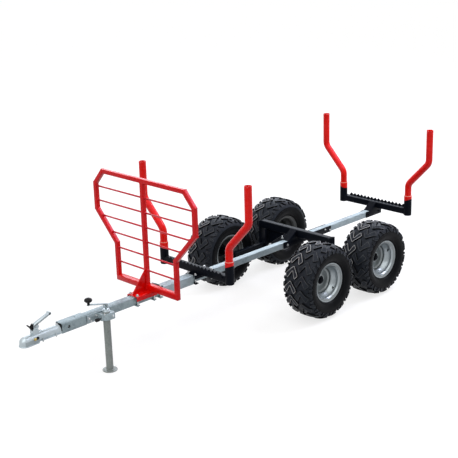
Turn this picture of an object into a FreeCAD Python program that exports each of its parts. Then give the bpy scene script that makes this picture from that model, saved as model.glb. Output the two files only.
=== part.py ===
"""Forestry trailer for small logs, behind a quad bike or small tractor.

A square drawbar telescopes over a square main beam. The beam carries a headboard, two toothed bolsters
with removable bent stakes, and a cross-beam on which two rocking bogie arms swing, each with two wide
flotation wheels. A clamped jack holds the drawbar level when the trailer is parked.

Frame: millimetres, +X forwards to the coupling, +Y to the left, +Z up. The origin lies on the ground in
the middle of the trailer's length and width.
"""
import FreeCAD, Part

import math
import os
import re

import Sketcher
from FreeCAD import Placement, Rotation, Vector

# Every driving dimension, in millimetres or degrees. Stations ending in _x are places along the trailer.
SIZES = {
    # beam and drawbar, square tubes one inside the other
    "beam_axis_z": 393, "beam_size": 50, "beam_wall": 4, "beam_rear_x": -1819, "beam_front_x": 420,
    "drawbar_wall": 4.5, "drawbar_rear_x": 380, "drawbar_front_x": 1525,
    "sleeve_wall": 4.5, "sleeve_rear_x": 376, "sleeve_front_x": 668, "slip_gap": 0.5,
    # wider tube welded over the drawbar's front end, which takes the coupling's shank
    "mouth_rear_x": 1332, "mouth_lap": 110,
    # galvanised bridge over the front end of the sleeve and its black bar below
    "bridge_rear_x": 672, "bridge_length": 46, "bridge_width": 105, "bridge_plate": 8, "bridge_lip": 14,
    # headboard
    "board_x": 773, "board_bar": 30, "board_bottom_z": 430, "board_low_z": 700, "board_wide_z": 912,
    "board_chamfer_z": 1108, "board_top_z": 1214, "board_low_half": 315, "board_wide_half": 512,
    "board_top_half": 417, "foot_bar_depth": 45, "foot_bar_height": 40, "post_size": 30, "post_wall": 2.5,
    "rod_diameter": 12, "rod_count": 6,
    "gusset_plate": 8, "gusset_rise": 148, "gusset_toe": 14, "gusset_tip": 8,
    "saddle_rear_x": 735, "saddle_front_x": 915, "saddle_width": 104, "saddle_plate": 6, "saddle_depth": 35,
    "clamp_bar": 8, "clamp_bar_length": 30, "clamp_bar_inset": 2,
    # bolsters, their teeth and the sockets for the stakes
    "front_bolster_x": 315, "rear_bolster_x": -1775, "bolster_size": 50, "bolster_wall": 4,
    "bolster_seat": 8, "tooth_count": 16, "tooth_pitch": 36, "tooth_rise": 16, "tooth_strip": 4,
    "tooth_seat": 20, "tooth_plate": 6, "socket_y": 335, "socket_diameter": 63, "socket_drop": 8,
    "socket_top_z": 547, "socket_slant": 20,
    # saddles that carry the bolsters and the cross-beam on the main beam
    "cheek_plate": 6, "strap_slope": 1.5, "front_seat_reach": 129, "front_seat_depth": 20,
    "rear_shoe_reach": 155,
    "shoe_back_plate": 5, "axle_shoe_front": 175, "axle_shoe_rear": 395,
    # stakes
    "stake_diameter": 54, "stake_wall": 3.2, "stake_foot_z": 442, "stake_low_bend_z": 681,
    "stake_high_bend_z": 886, "stake_spread": 194, "stake_top_z": 1158, "stake_bend_radius": 75,
    "stake_collar": 36, "collar_bite": 1, "socket_gap": 0.3,
    # cross-beam, bogie arms and pivots
    "axle_x": -760, "axle_tube_width": 50, "axle_tube_rise": 60, "axle_wall": 4, "axle_half": 363,
    "leg_plate": 10, "leg_width": 70, "web_root": 100, "web_heel": 20, "arm_centre_y": 325,
    "arm_width": 40, "arm_rise": 60, "arm_wall": 4, "arm_overhang": 38, "leg_clearance": 8,
    "pivot_diameter": 30, "pivot_boss": 62, "pin_rim": 8, "pin_head": 12, "pin_head_plate": 8,
    "running_gap": 0.05, "side_gap": 1, "wheelbase": 655, "stub_diameter": 30, "stub_flange": 58,
    "stub_collar": 14, "stub_end": 4, "nut_rim": 7, "nut_height": 9,
    # wheels: tyre section, rim section and hub
    "tyre_diameter": 559, "tyre_width": 268, "tyre_wall": 8, "wheel_centre_y": 505,
    "crown_edge": 62, "crown_wall": 18, "shoulder_edge": 30, "shoulder_fall": 4, "wall_top": 44,
    "wall_corner": 18, "wall_corner_in": 9, "wall_low": 74, "wall_foot": 24, "wall_foot_in": 10,
    "bead_lip": 6, "bead_lip_out": 2,
    "rim_width": 204, "rim_flange_diameter": 290, "bead_diameter": 254, "well_diameter": 200,
    "rim_plate": 4, "flange_root": 3, "flange_bend": 2, "seat_start": 12, "seat_end": 34,
    "seat_fall": 2, "well_start": 52, "disc_inset": 88, "hub_diameter": 59, "hub_length": 96,
    "hub_out": 22, "hub_flange": 7, "hub_flange_diameter": 104,
    # jack and the clamp that holds it on the drawbar
    "jack_x": 1195, "clamp_stand_off": 4, "jack_tube_diameter": 48, "jack_wall": 4, "jack_top_z": 430,
    "jack_lid": 8, "jack_cap_diameter": 42, "jack_foot_diameter": 100, "jack_foot_plate": 8,
    "jack_leg_gap": 6, "jack_leg_length": 350, "spindle_diameter": 14, "spindle_rise": 36,
    "crank_reach": 122, "crank_yaw": 41, "crank_bar": 6, "crank_width": 22, "crank_hook": 14,
    "knob_diameter": 54, "knob_rise": 34, "knob_stem": 20, "knob_stem_rise": 14,
    "clamp_height": 46, "clamp_top_z": 412, "clamp_length": 92, "clamp_wall": 10, "clamp_plate": 8,
    "clamp_plate_tail": 135, "clamp_inset": 2, "clamp_ear": 10, "stud_diameter": 10,
    "stud_length": 10, "grip_diameter": 24, "grip_length": 34,
    # coupling
    "ball_x": 1788.5, "ball_z": 380, "ball_diameter": 50, "ball_gap": 0.3, "cup_wall": 10.2,
    "cup_depth": 25, "coupling_rear_x": 1450, "coupling_plate": 5,
    "coupling_roof_z": 417, "coupling_foot_z": 366, "coupling_neck_x": 1700, "lip_width": 9.5,
    "lip_rear_gap": 12, "lip_front_gap": 10, "ear_spacing": 25, "ear_plate": 5, "ear_length": 53,
    "ear_rise": 45, "ear_root": 10, "lever_pivot_x": 1706, "lever_pivot_rise": 33,
    "lever_pivot_diameter": 8, "lever_length": 130, "lever_width": 23, "lever_depth": 13,
    "lever_lift": 18, "lever_root": 24, "lever_angle": 20,
}

doc = FreeCAD.newDocument("forestry_trailer")
sheet = doc.addObject("Spreadsheet::Sheet", "Sizes")
for row, (alias, value) in enumerate(SIZES.items(), start=1):
    sheet.set(f"A{row}", alias)
    sheet.set(f"B{row}", str(value))
    sheet.setAlias(f"B{row}", alias)
doc.recompute()

PAST = 5  # how far a cutting tool runs past what it cuts
X, Y, Z = Vector(1, 0, 0), Vector(0, 1, 0), Vector(0, 0, 1)
FACING_SIDE = Rotation(X, Z, Y * -1, "XYZ")  # an outline drawn as (x, z)
FACING_FRONT = Rotation(Y, Z, X, "XYZ")  # an outline drawn as (y, z)
ALONG = {"x": Rotation(Y, 90), "y": Rotation(X, -90), "z": Rotation()}
parts = []


# ---------------------------------------------------------------- helpers
def formula(text):
    """Turn a formula in the sheet's names, such as 'beam_size / 2', into an expression."""
    return re.sub(r"[a-z][a-z0-9_]*", lambda m: "Sizes." + m[0] if m[0] in SIZES else m[0], str(text))


def size(text):
    """The present value of a formula in the sheet's names."""
    value = sheet.evalExpression(formula(text))
    return float(getattr(value, "Value", value))


def bind(piece, **formulas):
    """Tie properties of an object to formulas in the sheet's names."""
    for name, text in formulas.items():
        piece.setExpression(name.replace("__", "."), formula(text))
    return piece


def put(piece, at, turn=None):
    """Place an object at three formulas, after an optional fixed rotation."""
    if turn is not None:
        piece.Placement = Placement(Vector(), turn)
    for letter, text in zip("xyz", at):
        piece.setExpression("Placement.Base." + letter, formula(text))
    return piece


def block(name, x, y, z):
    """A box between low and high formulas on each axis."""
    piece = doc.addObject("Part::Box", name)
    bind(piece, Length=f"({x[1]}) - ({x[0]})", Width=f"({y[1]}) - ({y[0]})", Height=f"({z[1]}) - ({z[0]})")
    return put(piece, (x[0], y[0], z[0]))


def rod(name, diameter, length, at, along="z"):
    """A round bar that starts at a point and runs along an axis."""
    piece = doc.addObject("Part::Cylinder", name)
    bind(piece, Radius=f"({diameter}) / 2", Height=length)
    return put(piece, at, ALONG[along])


def cut(name, base, *tools):
    for index, tool in enumerate(tools):
        last = index == len(tools) - 1
        piece = doc.addObject("Part::Cut", name if last else f"{name}_cut{index}")
        piece.Base, piece.Tool = base, tool
        base = piece
    return base


def fuse(name, *pieces):
    piece = doc.addObject("Part::MultiFuse", name)
    piece.Shapes = list(pieces)
    piece.Refine = True
    return piece


def square_tube(name, outer, wall, x, z):
    """A square tube along X, open at both ends, centred on height z."""
    half, inner = f"({outer}) / 2", f"(({outer}) / 2 - ({wall}))"
    shell = block(name + "_outside", x, (f"-{half}", half), (f"{z} - {half}", f"{z} + {half}"))
    past = (f"{x[0]} - {PAST}", f"{x[1]} + {PAST}")
    hollow = block(name + "_inside", past, (f"-{inner}", inner), (f"{z} - {inner}", f"{z} + {inner}"))
    return cut(name, shell, hollow)


def cross_tube(name, width, rise, wall, x, half_length, low):
    """A rectangular tube along Y, centred on station x, with its underside at the formula low."""
    shell = block(name + "_outside", (f"{x} - {width} / 2", f"{x} + {width} / 2"),
                  (f"-({half_length})", half_length), (low, f"{low} + {rise}"))
    hollow = block(name + "_inside", (f"{x} - {width} / 2 + {wall}", f"{x} + {width} / 2 - {wall}"),
                   (f"-({half_length}) - {PAST}", f"{half_length} + {PAST}"),
                   (f"{low} + {wall}", f"{low} + {rise} - {wall}"))
    return cut(name, shell, hollow)


def keep(piece, label):
    """Mark an object as one of the trailer's pieces, under its plain name."""
    piece.Label = label
    parts.append(piece)
    return piece


def outline(name, points, turn=None, at=("0", "0", "0")):
    """A sketch of one closed outline whose corners are pairs of formulas."""
    sketch = put(doc.addObject("Sketcher::SketchObject", name), at, turn)
    corners = [Vector(size(u), size(v), 0) for u, v in points]
    for start, end in zip(corners, corners[1:] + corners[:1]):
        sketch.addGeometry(Part.LineSegment(start, end), False)
    count = len(corners)
    for index in range(count):
        sketch.addConstraint(Sketcher.Constraint("Coincident", index, 2, (index + 1) % count, 1))
    for index, (corner, (u, v)) in enumerate(zip(corners, points)):
        for kind, value, text in (("DistanceX", corner.x, u), ("DistanceY", corner.y, v)):
            number = sketch.addConstraint(Sketcher.Constraint(kind, -1, 1, index, 1, value))
            sketch.setExpression(f"Constraints[{number}]", formula(text))
    return sketch


def extrude(name, sketch, length, symmetric=True):
    piece = doc.addObject("Part::Extrusion", name)
    piece.Base = sketch
    piece.DirMode = "Normal"
    piece.Solid = True
    piece.Symmetric = symmetric
    bind(piece, LengthFwd=length)
    return piece


def mirror(name, source):
    """The same piece on the other side of the trailer."""
    piece = doc.addObject("Part::Mirroring", name)
    piece.Source = source
    piece.Normal = Y
    return piece


def spin(name, sketch, axis_x, axis_z):
    """Turn an outline drawn as (radius, width) about a wheel's axle."""
    piece = doc.addObject("Part::Revolution", name)
    piece.Source = sketch
    piece.Axis = Y
    piece.Angle = 360
    piece.Solid = True
    for letter, text in (("x", axis_x), ("z", axis_z)):
        piece.setExpression("Base." + letter, formula(text))
    return piece


# ---------------------------------------------------------------- beam, drawbar and sleeve
DRAWBAR = "(beam_size + 2 * slip_gap + 2 * drawbar_wall)"
SLEEVE = f"({DRAWBAR} + 2 * slip_gap + 2 * sleeve_wall)"
DRAWBAR_HALF = f"({DRAWBAR} / 2)"
BEAM_TOP = "(beam_axis_z + beam_size / 2)"
BEAM_FOOT = "(beam_axis_z - beam_size / 2)"
DRAWBAR_TOP = f"(beam_axis_z + {DRAWBAR} / 2)"
DRAWBAR_FOOT = f"(beam_axis_z - {DRAWBAR} / 2)"


def backbone():
    keep(square_tube("main_beam_tube", "beam_size", "beam_wall", ("beam_rear_x", "beam_front_x"),
                     "beam_axis_z"), "main_beam")
    tube = square_tube("drawbar_tube", DRAWBAR, "drawbar_wall", ("drawbar_rear_x", "mouth_rear_x + mouth_lap"),
                       "beam_axis_z")
    mouth = square_tube("drawbar_mouth", SLEEVE, "(sleeve_wall + slip_gap)", ("mouth_rear_x", "drawbar_front_x"),
                        "beam_axis_z")
    keep(fuse("drawbar_whole", tube, mouth), "drawbar")
    keep(square_tube("sleeve_tube", SLEEVE, "sleeve_wall", ("sleeve_rear_x", "sleeve_front_x"),
                     "beam_axis_z"), "beam_sleeve")
    # galvanised bridge just ahead of the sleeve, standing on the drawbar, and the black bar under it
    x = ("bridge_rear_x", "bridge_rear_x + bridge_length")
    half = "bridge_width / 2"
    deck = block("bridge_deck", x, (f"-{half}", half), (DRAWBAR_TOP, f"{DRAWBAR_TOP} + bridge_plate"))
    sides = {"left": (f"{half} - bridge_plate", half), "right": (f"-{half}", f"bridge_plate - {half}")}
    lip_z = (f"{DRAWBAR_TOP} - bridge_lip", f"{DRAWBAR_TOP} + bridge_plate")
    lips = [block(f"bridge_lip_{side}", x, y, lip_z) for side, y in sides.items()]
    keep(fuse("bridge", deck, *lips), "drawbar_bridge")


# ---------------------------------------------------------------- headboard
LEAN = "atan((board_wide_half - board_low_half) / (board_wide_z - board_low_z))"
CHAMFER = "atan((board_wide_half - board_top_half) / (board_top_z - board_chamfer_z))"


def board_outline(inset):
    """Right half of the headboard's outline, from the foot upwards, set in by a formula."""
    return [(f"board_low_half - {inset}", f"board_bottom_z + {inset}"),
            (f"board_low_half - {inset}", f"board_low_z + {inset} * tan({LEAN} / 2)"),
            (f"board_wide_half - {inset}", f"board_wide_z + {inset} * tan({LEAN} / 2)"),
            (f"board_wide_half - {inset}", f"board_chamfer_z - {inset} * tan({CHAMFER} / 2)"),
            (f"board_top_half - {inset} * (1 - sin({CHAMFER})) / cos({CHAMFER})", f"board_top_z - {inset}")]


def board_plate(name, inset, depth):
    """A plate of the headboard's outline, set in by a formula and centred on the headboard's plane."""
    half = board_outline(inset)
    other = [(f"-({across})", up) for across, up in reversed(half)]
    plan = outline(name + "_outline", half + other, FACING_FRONT, ("board_x", "0", "0"))
    return extrude(name, plan, depth)


def headboard():
    ring = cut("headboard_ring", board_plate("headboard_outside", "0", "board_bar"),
               board_plate("headboard_window", "board_bar", f"board_bar + 2 * {PAST}"))
    foot = (("board_x + board_bar / 2 - foot_bar_depth", "board_x + board_bar / 2"),
            ("-board_low_half", "board_low_half"), ("board_bottom_z", "board_bottom_z + foot_bar_height"))
    keep(fuse("headboard_whole", ring, block("headboard_foot", *foot)), "headboard_frame")
    half_post = "post_size / 2"
    inner_post = f"({half_post} - post_wall)"
    stands = ("board_bottom_z + foot_bar_height", "board_top_z - board_bar")
    solid_post = block("headboard_post_bar", (f"board_x - {half_post}", f"board_x + {half_post}"),
                       (f"-{half_post}", half_post), stands)
    room = block("headboard_post_room", (f"board_x - {inner_post}", f"board_x + {inner_post}"),
                 (f"-{inner_post}", inner_post), (f"{stands[0]} - {PAST}", f"{stands[1]} + {PAST}"))
    keep(cut("headboard_post_tube", solid_post, room), "headboard_post")
    # six rods, evenly spaced between the foot and top bars, trimmed to the frame and to the post
    count = int(size("rod_count"))
    pitch = f"((board_top_z - board_bottom_z - board_bar - foot_bar_height) / ({count} + 1))"
    bars = [rod(f"rod_{index}", "rod_diameter", "2 * board_wide_half",
                ("board_x", "-board_wide_half", f"board_bottom_z + foot_bar_height + {index} * {pitch}"), "y")
            for index in range(1, count + 1)]
    rods = doc.addObject("Part::MultiCommon", "rods_in_frame")
    rods.Shapes = [fuse("rods_across", *bars), board_plate("headboard_clear", "board_bar", "board_bar")]
    keep(cut("rods_beside_post", rods, solid_post), "headboard_rods")
    # inverted channel over the drawbar, and the triangular gusset that props the post
    x = ("saddle_rear_x", "saddle_front_x")
    outer, inner = "saddle_width / 2", "(saddle_width / 2 - saddle_plate)"
    low = f"{DRAWBAR_TOP} + saddle_plate - saddle_depth"
    shell = block("saddle_outside", x, (f"-{outer}", outer), (low, f"{DRAWBAR_TOP} + saddle_plate"))
    hollow = block("saddle_inside", (f"{x[0]} - {PAST}", f"{x[1]} + {PAST}"), (f"-{inner}", inner),
                   (f"{low} - {PAST}", DRAWBAR_TOP))
    foot_bar = block("saddle_foot_bar", foot[0], ("-saddle_width", "saddle_width"), foot[2])
    keep(cut("saddle_channel", shell, hollow, foot_bar), "headboard_saddle")
    step = f"{DRAWBAR_TOP} + saddle_plate"
    corners = [(f"board_x + {half_post}", step), ("saddle_front_x - gusset_tip", step),
               ("saddle_front_x - gusset_tip", f"{step} + gusset_toe"),
               (f"board_x + {half_post} + gusset_tip", f"{step} + gusset_rise"),
               (f"board_x + {half_post}", f"{step} + gusset_rise")]
    web = extrude("gusset_web", outline("gusset_outline", corners, FACING_SIDE), "gusset_plate")
    foot_room = block("gusset_foot_room", foot[0], ("-gusset_plate", "gusset_plate"), foot[2])
    keep(cut("gusset_trimmed", web, foot_room), "headboard_gusset")


# ---------------------------------------------------------------- bolsters and stakes
CHEEK_IN = "(beam_size / 2 + slip_gap)"
CHEEK_OUT = "(beam_size / 2 + slip_gap + cheek_plate)"
BOLSTER_LOW = f"({BEAM_TOP} + bolster_seat)"
BOLSTER_TOP = f"({BEAM_TOP} + bolster_seat + bolster_size)"
SOCKET_FOOT = f"({BOLSTER_LOW} - socket_drop)"
AXLE_LOW = f"({BEAM_TOP} + bolster_seat)"
AXLE_TOP = f"({BEAM_TOP} + bolster_seat + axle_tube_rise)"


def above_mouth(name, x, gap):
    """Everything above the slanted mouth of the left socket, raised by a gap."""
    reach = "socket_diameter"
    piece = doc.addObject("Part::Box", name)
    bind(piece, Length=f"2 * {reach}", Width=f"2 * {reach}", Height=f"2 * {reach}")
    put(piece, (f"{x} - {reach}", f"socket_y - {reach} * cos(socket_slant)",
                f"socket_top_z + {gap} - {reach} * sin(socket_slant)"), Rotation(X, size("socket_slant")))
    return bind(piece, Placement__Rotation__Angle="socket_slant")


def bolster(end, x, tooth_side):
    """A cross tube with a socket at each end and a saw-toothed strip on one of its long faces."""
    bar = cross_tube(f"{end}_bolster_tube", "bolster_size", "bolster_size", "bolster_wall", x, "socket_y",
                     BOLSTER_LOW)
    socket = rod(f"{end}_socket_blank", "socket_diameter", f"socket_top_z + socket_diameter - {SOCKET_FOOT}",
                 (x, "socket_y", SOCKET_FOOT))
    left = cut(f"{end}_socket_left", socket, above_mouth(f"{end}_mouth_left", x, "0"))
    right = mirror(f"{end}_socket_right", left)
    bore = rod(f"{end}_bore_left", "stake_diameter + 2 * socket_gap", "socket_diameter * 3 + socket_top_z",
               (x, "socket_y", "stake_foot_z - socket_gap"))
    keep(cut(f"{end}_bolster_body", fuse(f"{end}_bolster_blank", bar, left, right), bore,
             mirror(f"{end}_bore_right", bore)), f"{end}_bolster")
    count = int(size("tooth_count"))
    start = f"(tooth_pitch * {count} / 2)"
    saw = [(f"{index} * tooth_pitch / 2 - {start}",
            f"{BOLSTER_TOP} + tooth_strip + {index % 2} * tooth_rise") for index in range(2 * count + 1)]
    foot = [(start, f"{BOLSTER_TOP} - tooth_seat"), (f"-{start}", f"{BOLSTER_TOP} - tooth_seat")]
    plane = f"{x} + {tooth_side} * (bolster_size + tooth_plate) / 2"
    strip = outline(f"{end}_saw_outline", saw + foot, FACING_FRONT, (plane, "0", "0"))
    keep(extrude(f"{end}_saw", strip, "tooth_plate"), f"{end}_bolster_teeth")


def front_saddle():
    """A wide inverted channel on the main beam, under the front bolster."""
    x = ("front_bolster_x - front_seat_reach", "sleeve_rear_x - side_gap")
    outer, inner = "saddle_width / 2", "(saddle_width / 2 - saddle_plate)"
    low = f"{BEAM_TOP} - front_seat_depth"
    shell = block("front_seat_outside", x, (f"-{outer}", outer), (low, BOLSTER_LOW))
    hollow = block("front_seat_inside", (f"{x[0]} - {PAST}", f"{x[1]} + {PAST}"), (f"-{inner}", inner),
                   (f"{low} - {PAST}", BEAM_TOP))
    keep(cut("front_seat_channel", shell, hollow), "front_bolster_saddle")


def clamp_bars():
    """Black bars under the beam and the drawbar, where the bolts of the saddles and bridge pull up."""
    half = "clamp_bar_length / 2"
    stations = (("bridge_rear_x + bridge_length / 2", DRAWBAR_FOOT),
                (f"saddle_rear_x + {half} + clamp_bar_inset", DRAWBAR_FOOT),
                (f"saddle_front_x - {half}", DRAWBAR_FOOT),
                (f"front_bolster_x - front_seat_reach + {half}", BEAM_FOOT),
                (f"sleeve_rear_x - side_gap - {half}", BEAM_FOOT))
    bars = [block(f"clamp_bar_{index}", (f"{at} - {half}", f"{at} + {half}"),
                  ("-saddle_width / 2", "saddle_width / 2"), (f"{top} - clamp_bar", top))
            for index, (at, top) in enumerate(stations)]
    keep(fuse("clamp_bar_set", *bars), "clamp_bars")


def shoe(name, label, cheeks, member, member_z, end_plate):
    """A folded saddle on the main beam: a cheek on each side, and sloping straps up to a cross member.

    It has a strap behind the member as well, or a plate across the beam's end there.
    """
    slope = f"({member_z[1]} - {BEAM_TOP}) * strap_slope"
    corners = [(cheeks[1], BEAM_FOOT), (cheeks[1], BEAM_TOP), (f"{member[1]} + {slope}", BEAM_TOP),
               (member[1], member_z[1]), (member[0], member_z[1])]
    if end_plate:
        corners += [(member[0], BEAM_TOP), (cheeks[0], BEAM_TOP), (cheeks[0], BEAM_FOOT)]
    else:
        corners += [(f"{member[0]} - {slope}", BEAM_TOP), (cheeks[0], BEAM_TOP), (cheeks[0], BEAM_FOOT)]
    body = extrude(name + "_body", outline(name + "_outline", corners, FACING_SIDE), f"2 * {CHEEK_OUT}")
    rear = "beam_rear_x" if end_plate else f"{cheeks[0]} - {PAST}"
    beam_room = block(name + "_room", (rear, f"{cheeks[1]} + {PAST}"), (f"-{CHEEK_IN}", CHEEK_IN),
                      (f"{BEAM_FOOT} - {PAST}", BEAM_TOP))
    member_room = block(name + "_member", member, (f"-2 * {CHEEK_OUT}", f"2 * {CHEEK_OUT}"),
                        (member_z[0], f"{member_z[1]} + {PAST}"))
    keep(cut(name + "_cut", body, beam_room, member_room), label)


def shoes():
    half = "bolster_size / 2"
    cheeks = ("beam_rear_x - shoe_back_plate", "rear_bolster_x + rear_shoe_reach")
    member = (f"rear_bolster_x - {half}", f"rear_bolster_x + {half}")
    shoe("rear_shoe", "rear_bolster_saddle", cheeks, member, (BOLSTER_LOW, BOLSTER_TOP), True)
    half = "axle_tube_width / 2"
    cheeks = ("axle_x - axle_shoe_rear", "axle_x + axle_shoe_front")
    member = (f"axle_x - {half}", f"axle_x + {half}")
    shoe("axle_shoe", "axle_saddle", cheeks, member, (AXLE_LOW, AXLE_TOP), False)


def stake_line(name, diameter, x, past):
    """The bent line of a left stake as a round bar: upright, leaning outboard, upright again."""
    lean = "atan(stake_spread / (stake_high_bend_z - stake_low_bend_z))"
    run = f"(stake_bend_radius * tan({lean} / 2))"
    radius = "stake_bend_radius"
    low = rod(name + "_low", diameter, f"stake_low_bend_z - {run} - stake_foot_z + {past}",
              (x, "socket_y", f"stake_foot_z - {past}"))
    first = doc.addObject("Part::Torus", name + "_bend_out")
    put(first, (x, f"socket_y + {radius}", f"stake_low_bend_z - {run}"), Rotation(Y * -1, Z, X * -1, "XYZ"))
    slope = rod(name + "_slope", diameter, f"stake_spread / sin({lean}) - 2 * {run}",
                (x, f"socket_y + {radius} * (1 - cos({lean}))",
                 f"stake_low_bend_z - {run} + {radius} * sin({lean})"))
    slope.Placement = Placement(slope.Placement.Base, Rotation(X * -1, size(lean)))
    bind(slope, Placement__Rotation__Angle=lean)
    second = doc.addObject("Part::Torus", name + "_bend_up")
    put(second, (x, f"socket_y + stake_spread - {radius}", f"stake_high_bend_z + {run}"),
        Rotation(Y, Z * -1, X * -1, "XYZ"))
    for bend in (first, second):
        bind(bend, Radius1=radius, Radius2=f"({diameter}) / 2", Angle3=lean)
    high = rod(name + "_high", diameter, f"stake_top_z - stake_high_bend_z - {run} + {past}",
               (x, "socket_y + stake_spread", f"stake_high_bend_z + {run}"))
    return fuse(name, low, first, slope, second, high)


def stakes(end, x):
    tube = cut(f"{end}_stake_tube", stake_line(f"{end}_stake_outside", "stake_diameter", x, "0"),
               stake_line(f"{end}_stake_inside", "stake_diameter - 2 * stake_wall", x, PAST))
    ring = rod(f"{end}_collar_blank", "socket_diameter", "2 * stake_collar + socket_diameter",
               (x, "socket_y", "socket_top_z + stake_collar - 2 * stake_collar - socket_diameter"))
    ring_room = rod(f"{end}_collar_room", "stake_diameter - collar_bite",
                    "4 * stake_collar + 2 * socket_diameter",
                    (x, "socket_y", "socket_top_z - 3 * stake_collar - socket_diameter"))
    collar = doc.addObject("Part::MultiCommon", f"{end}_collar")
    collar.Shapes = [cut(f"{end}_collar_ring", ring, ring_room),
                     above_mouth(f"{end}_collar_seat", x, "socket_gap")]
    left = keep(fuse(f"{end}_stake_left", tube, collar), f"{end}_left_stake")
    keep(mirror(f"{end}_stake_right", left), f"{end}_right_stake")


# ---------------------------------------------------------------- cross-beam, bogie arms and pins
WHEEL_Z = "tyre_diameter / 2"
ARM_OUT, ARM_IN = "(arm_centre_y + arm_width / 2)", "(arm_centre_y - arm_width / 2)"
LEG_IN = f"({ARM_IN} - leg_clearance - leg_plate)"


def cross_beam():
    bar = cross_tube("axle_tube", "axle_tube_width", "axle_tube_rise", "axle_wall", "axle_x",
                     "axle_half - leg_plate", AXLE_LOW)
    wide = ("axle_x - leg_width / 2", "axle_x + leg_width / 2")
    legs = []
    for side, low, high, top in (("outer", "axle_half - leg_plate", "axle_half", AXLE_TOP),
                                 ("inner", LEG_IN, f"{LEG_IN} + leg_plate", AXLE_LOW)):
        legs.append(block(f"leg_{side}_plate", wide, (low, high), (WHEEL_Z, top)))
        legs.append(rod(f"leg_{side}_end", "leg_width", "leg_plate", ("axle_x", low, WHEEL_Z), "y"))
    heel = f"{WHEEL_Z} + pivot_diameter"
    corners = [("web_root", AXLE_LOW), (LEG_IN, AXLE_LOW), (LEG_IN, heel), (f"{LEG_IN} - web_heel", heel)]
    web_plan = outline("leg_web_outline", corners, FACING_FRONT, ("axle_x", "0", "0"))
    web = extrude("leg_web", web_plan, "leg_plate")
    bore = rod("leg_bore", "pivot_diameter", f"axle_half + {PAST} - web_root",
               ("axle_x", "web_root", WHEEL_Z), "y")
    left = cut("leg_left_bored", fuse("leg_left", *legs, web), bore)
    keep(fuse("axle_beam_body", bar, left, mirror("leg_right_bored", left)), "axle_beam")
    # each pivot pin has a flat head inboard of the inner leg
    start = f"({LEG_IN} - pin_head)"
    pin = rod("pivot_pin", "pivot_diameter", f"axle_half - {start}", ("axle_x", start, WHEEL_Z), "y")
    head = rod("pivot_head", "pivot_diameter + 2 * pin_rim", "pin_head_plate",
               ("axle_x", start, WHEEL_Z), "y")
    left_pin = fuse("pivot_left", pin, head)
    keep(fuse("bogie_pin_pair", left_pin, mirror("pivot_right", left_pin)), "bogie_pins")


def bogie_arm():
    half_length = "(wheelbase / 2 + arm_overhang)"
    x = (f"axle_x - {half_length}", f"axle_x + {half_length}")
    z = (f"{WHEEL_Z} - arm_rise / 2", f"{WHEEL_Z} + arm_rise / 2")
    shell = block("arm_outside", x, (ARM_IN, ARM_OUT), z)
    hollow = block("arm_inside", *[(f"{low} + arm_wall", f"{high} - arm_wall")
                                   for low, high in (x, (ARM_IN, ARM_OUT), z)])
    boss_low = f"({LEG_IN} + leg_plate + side_gap)"
    boss = rod("arm_boss", "pivot_boss", f"axle_half - leg_plate - side_gap - {boss_low}",
               ("axle_x", boss_low, WHEEL_Z), "y")
    pieces = [cut("arm_shell", shell, hollow), boss]
    nut_low = "(wheel_centre_y + hub_out + side_gap / 2)"
    for end, sign in (("front", "+"), ("rear", "-")):
        at = f"axle_x {sign} wheelbase / 2"
        stub_length = f"{nut_low} + nut_height + stub_end - arm_centre_y"
        for label, diameter, length, y in (("stub", "stub_diameter", stub_length, "arm_centre_y"),
                                           ("stub_flange", "stub_flange", "stub_collar", ARM_OUT),
                                           ("nut", "stub_diameter + 2 * nut_rim", "nut_height", nut_low)):
            pieces.append(rod(f"{label}_{end}", diameter, length, (at, y, WHEEL_Z), "y"))
    bore = rod("arm_bore", "pivot_diameter + 2 * running_gap", f"axle_half - {LEG_IN}",
               ("axle_x", LEG_IN, WHEEL_Z), "y")
    left = keep(cut("arm_left", fuse("arm_blank", *pieces), bore), "left_bogie_arm")
    keep(mirror("arm_right", left), "right_bogie_arm")


# ---------------------------------------------------------------- wheels
def both_sides(points):
    """A closed wheel section: points (radius, place across the wheel), then their mirror images."""
    return points + [(radius, f"-({across})") for radius, across in reversed(points)]


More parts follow.
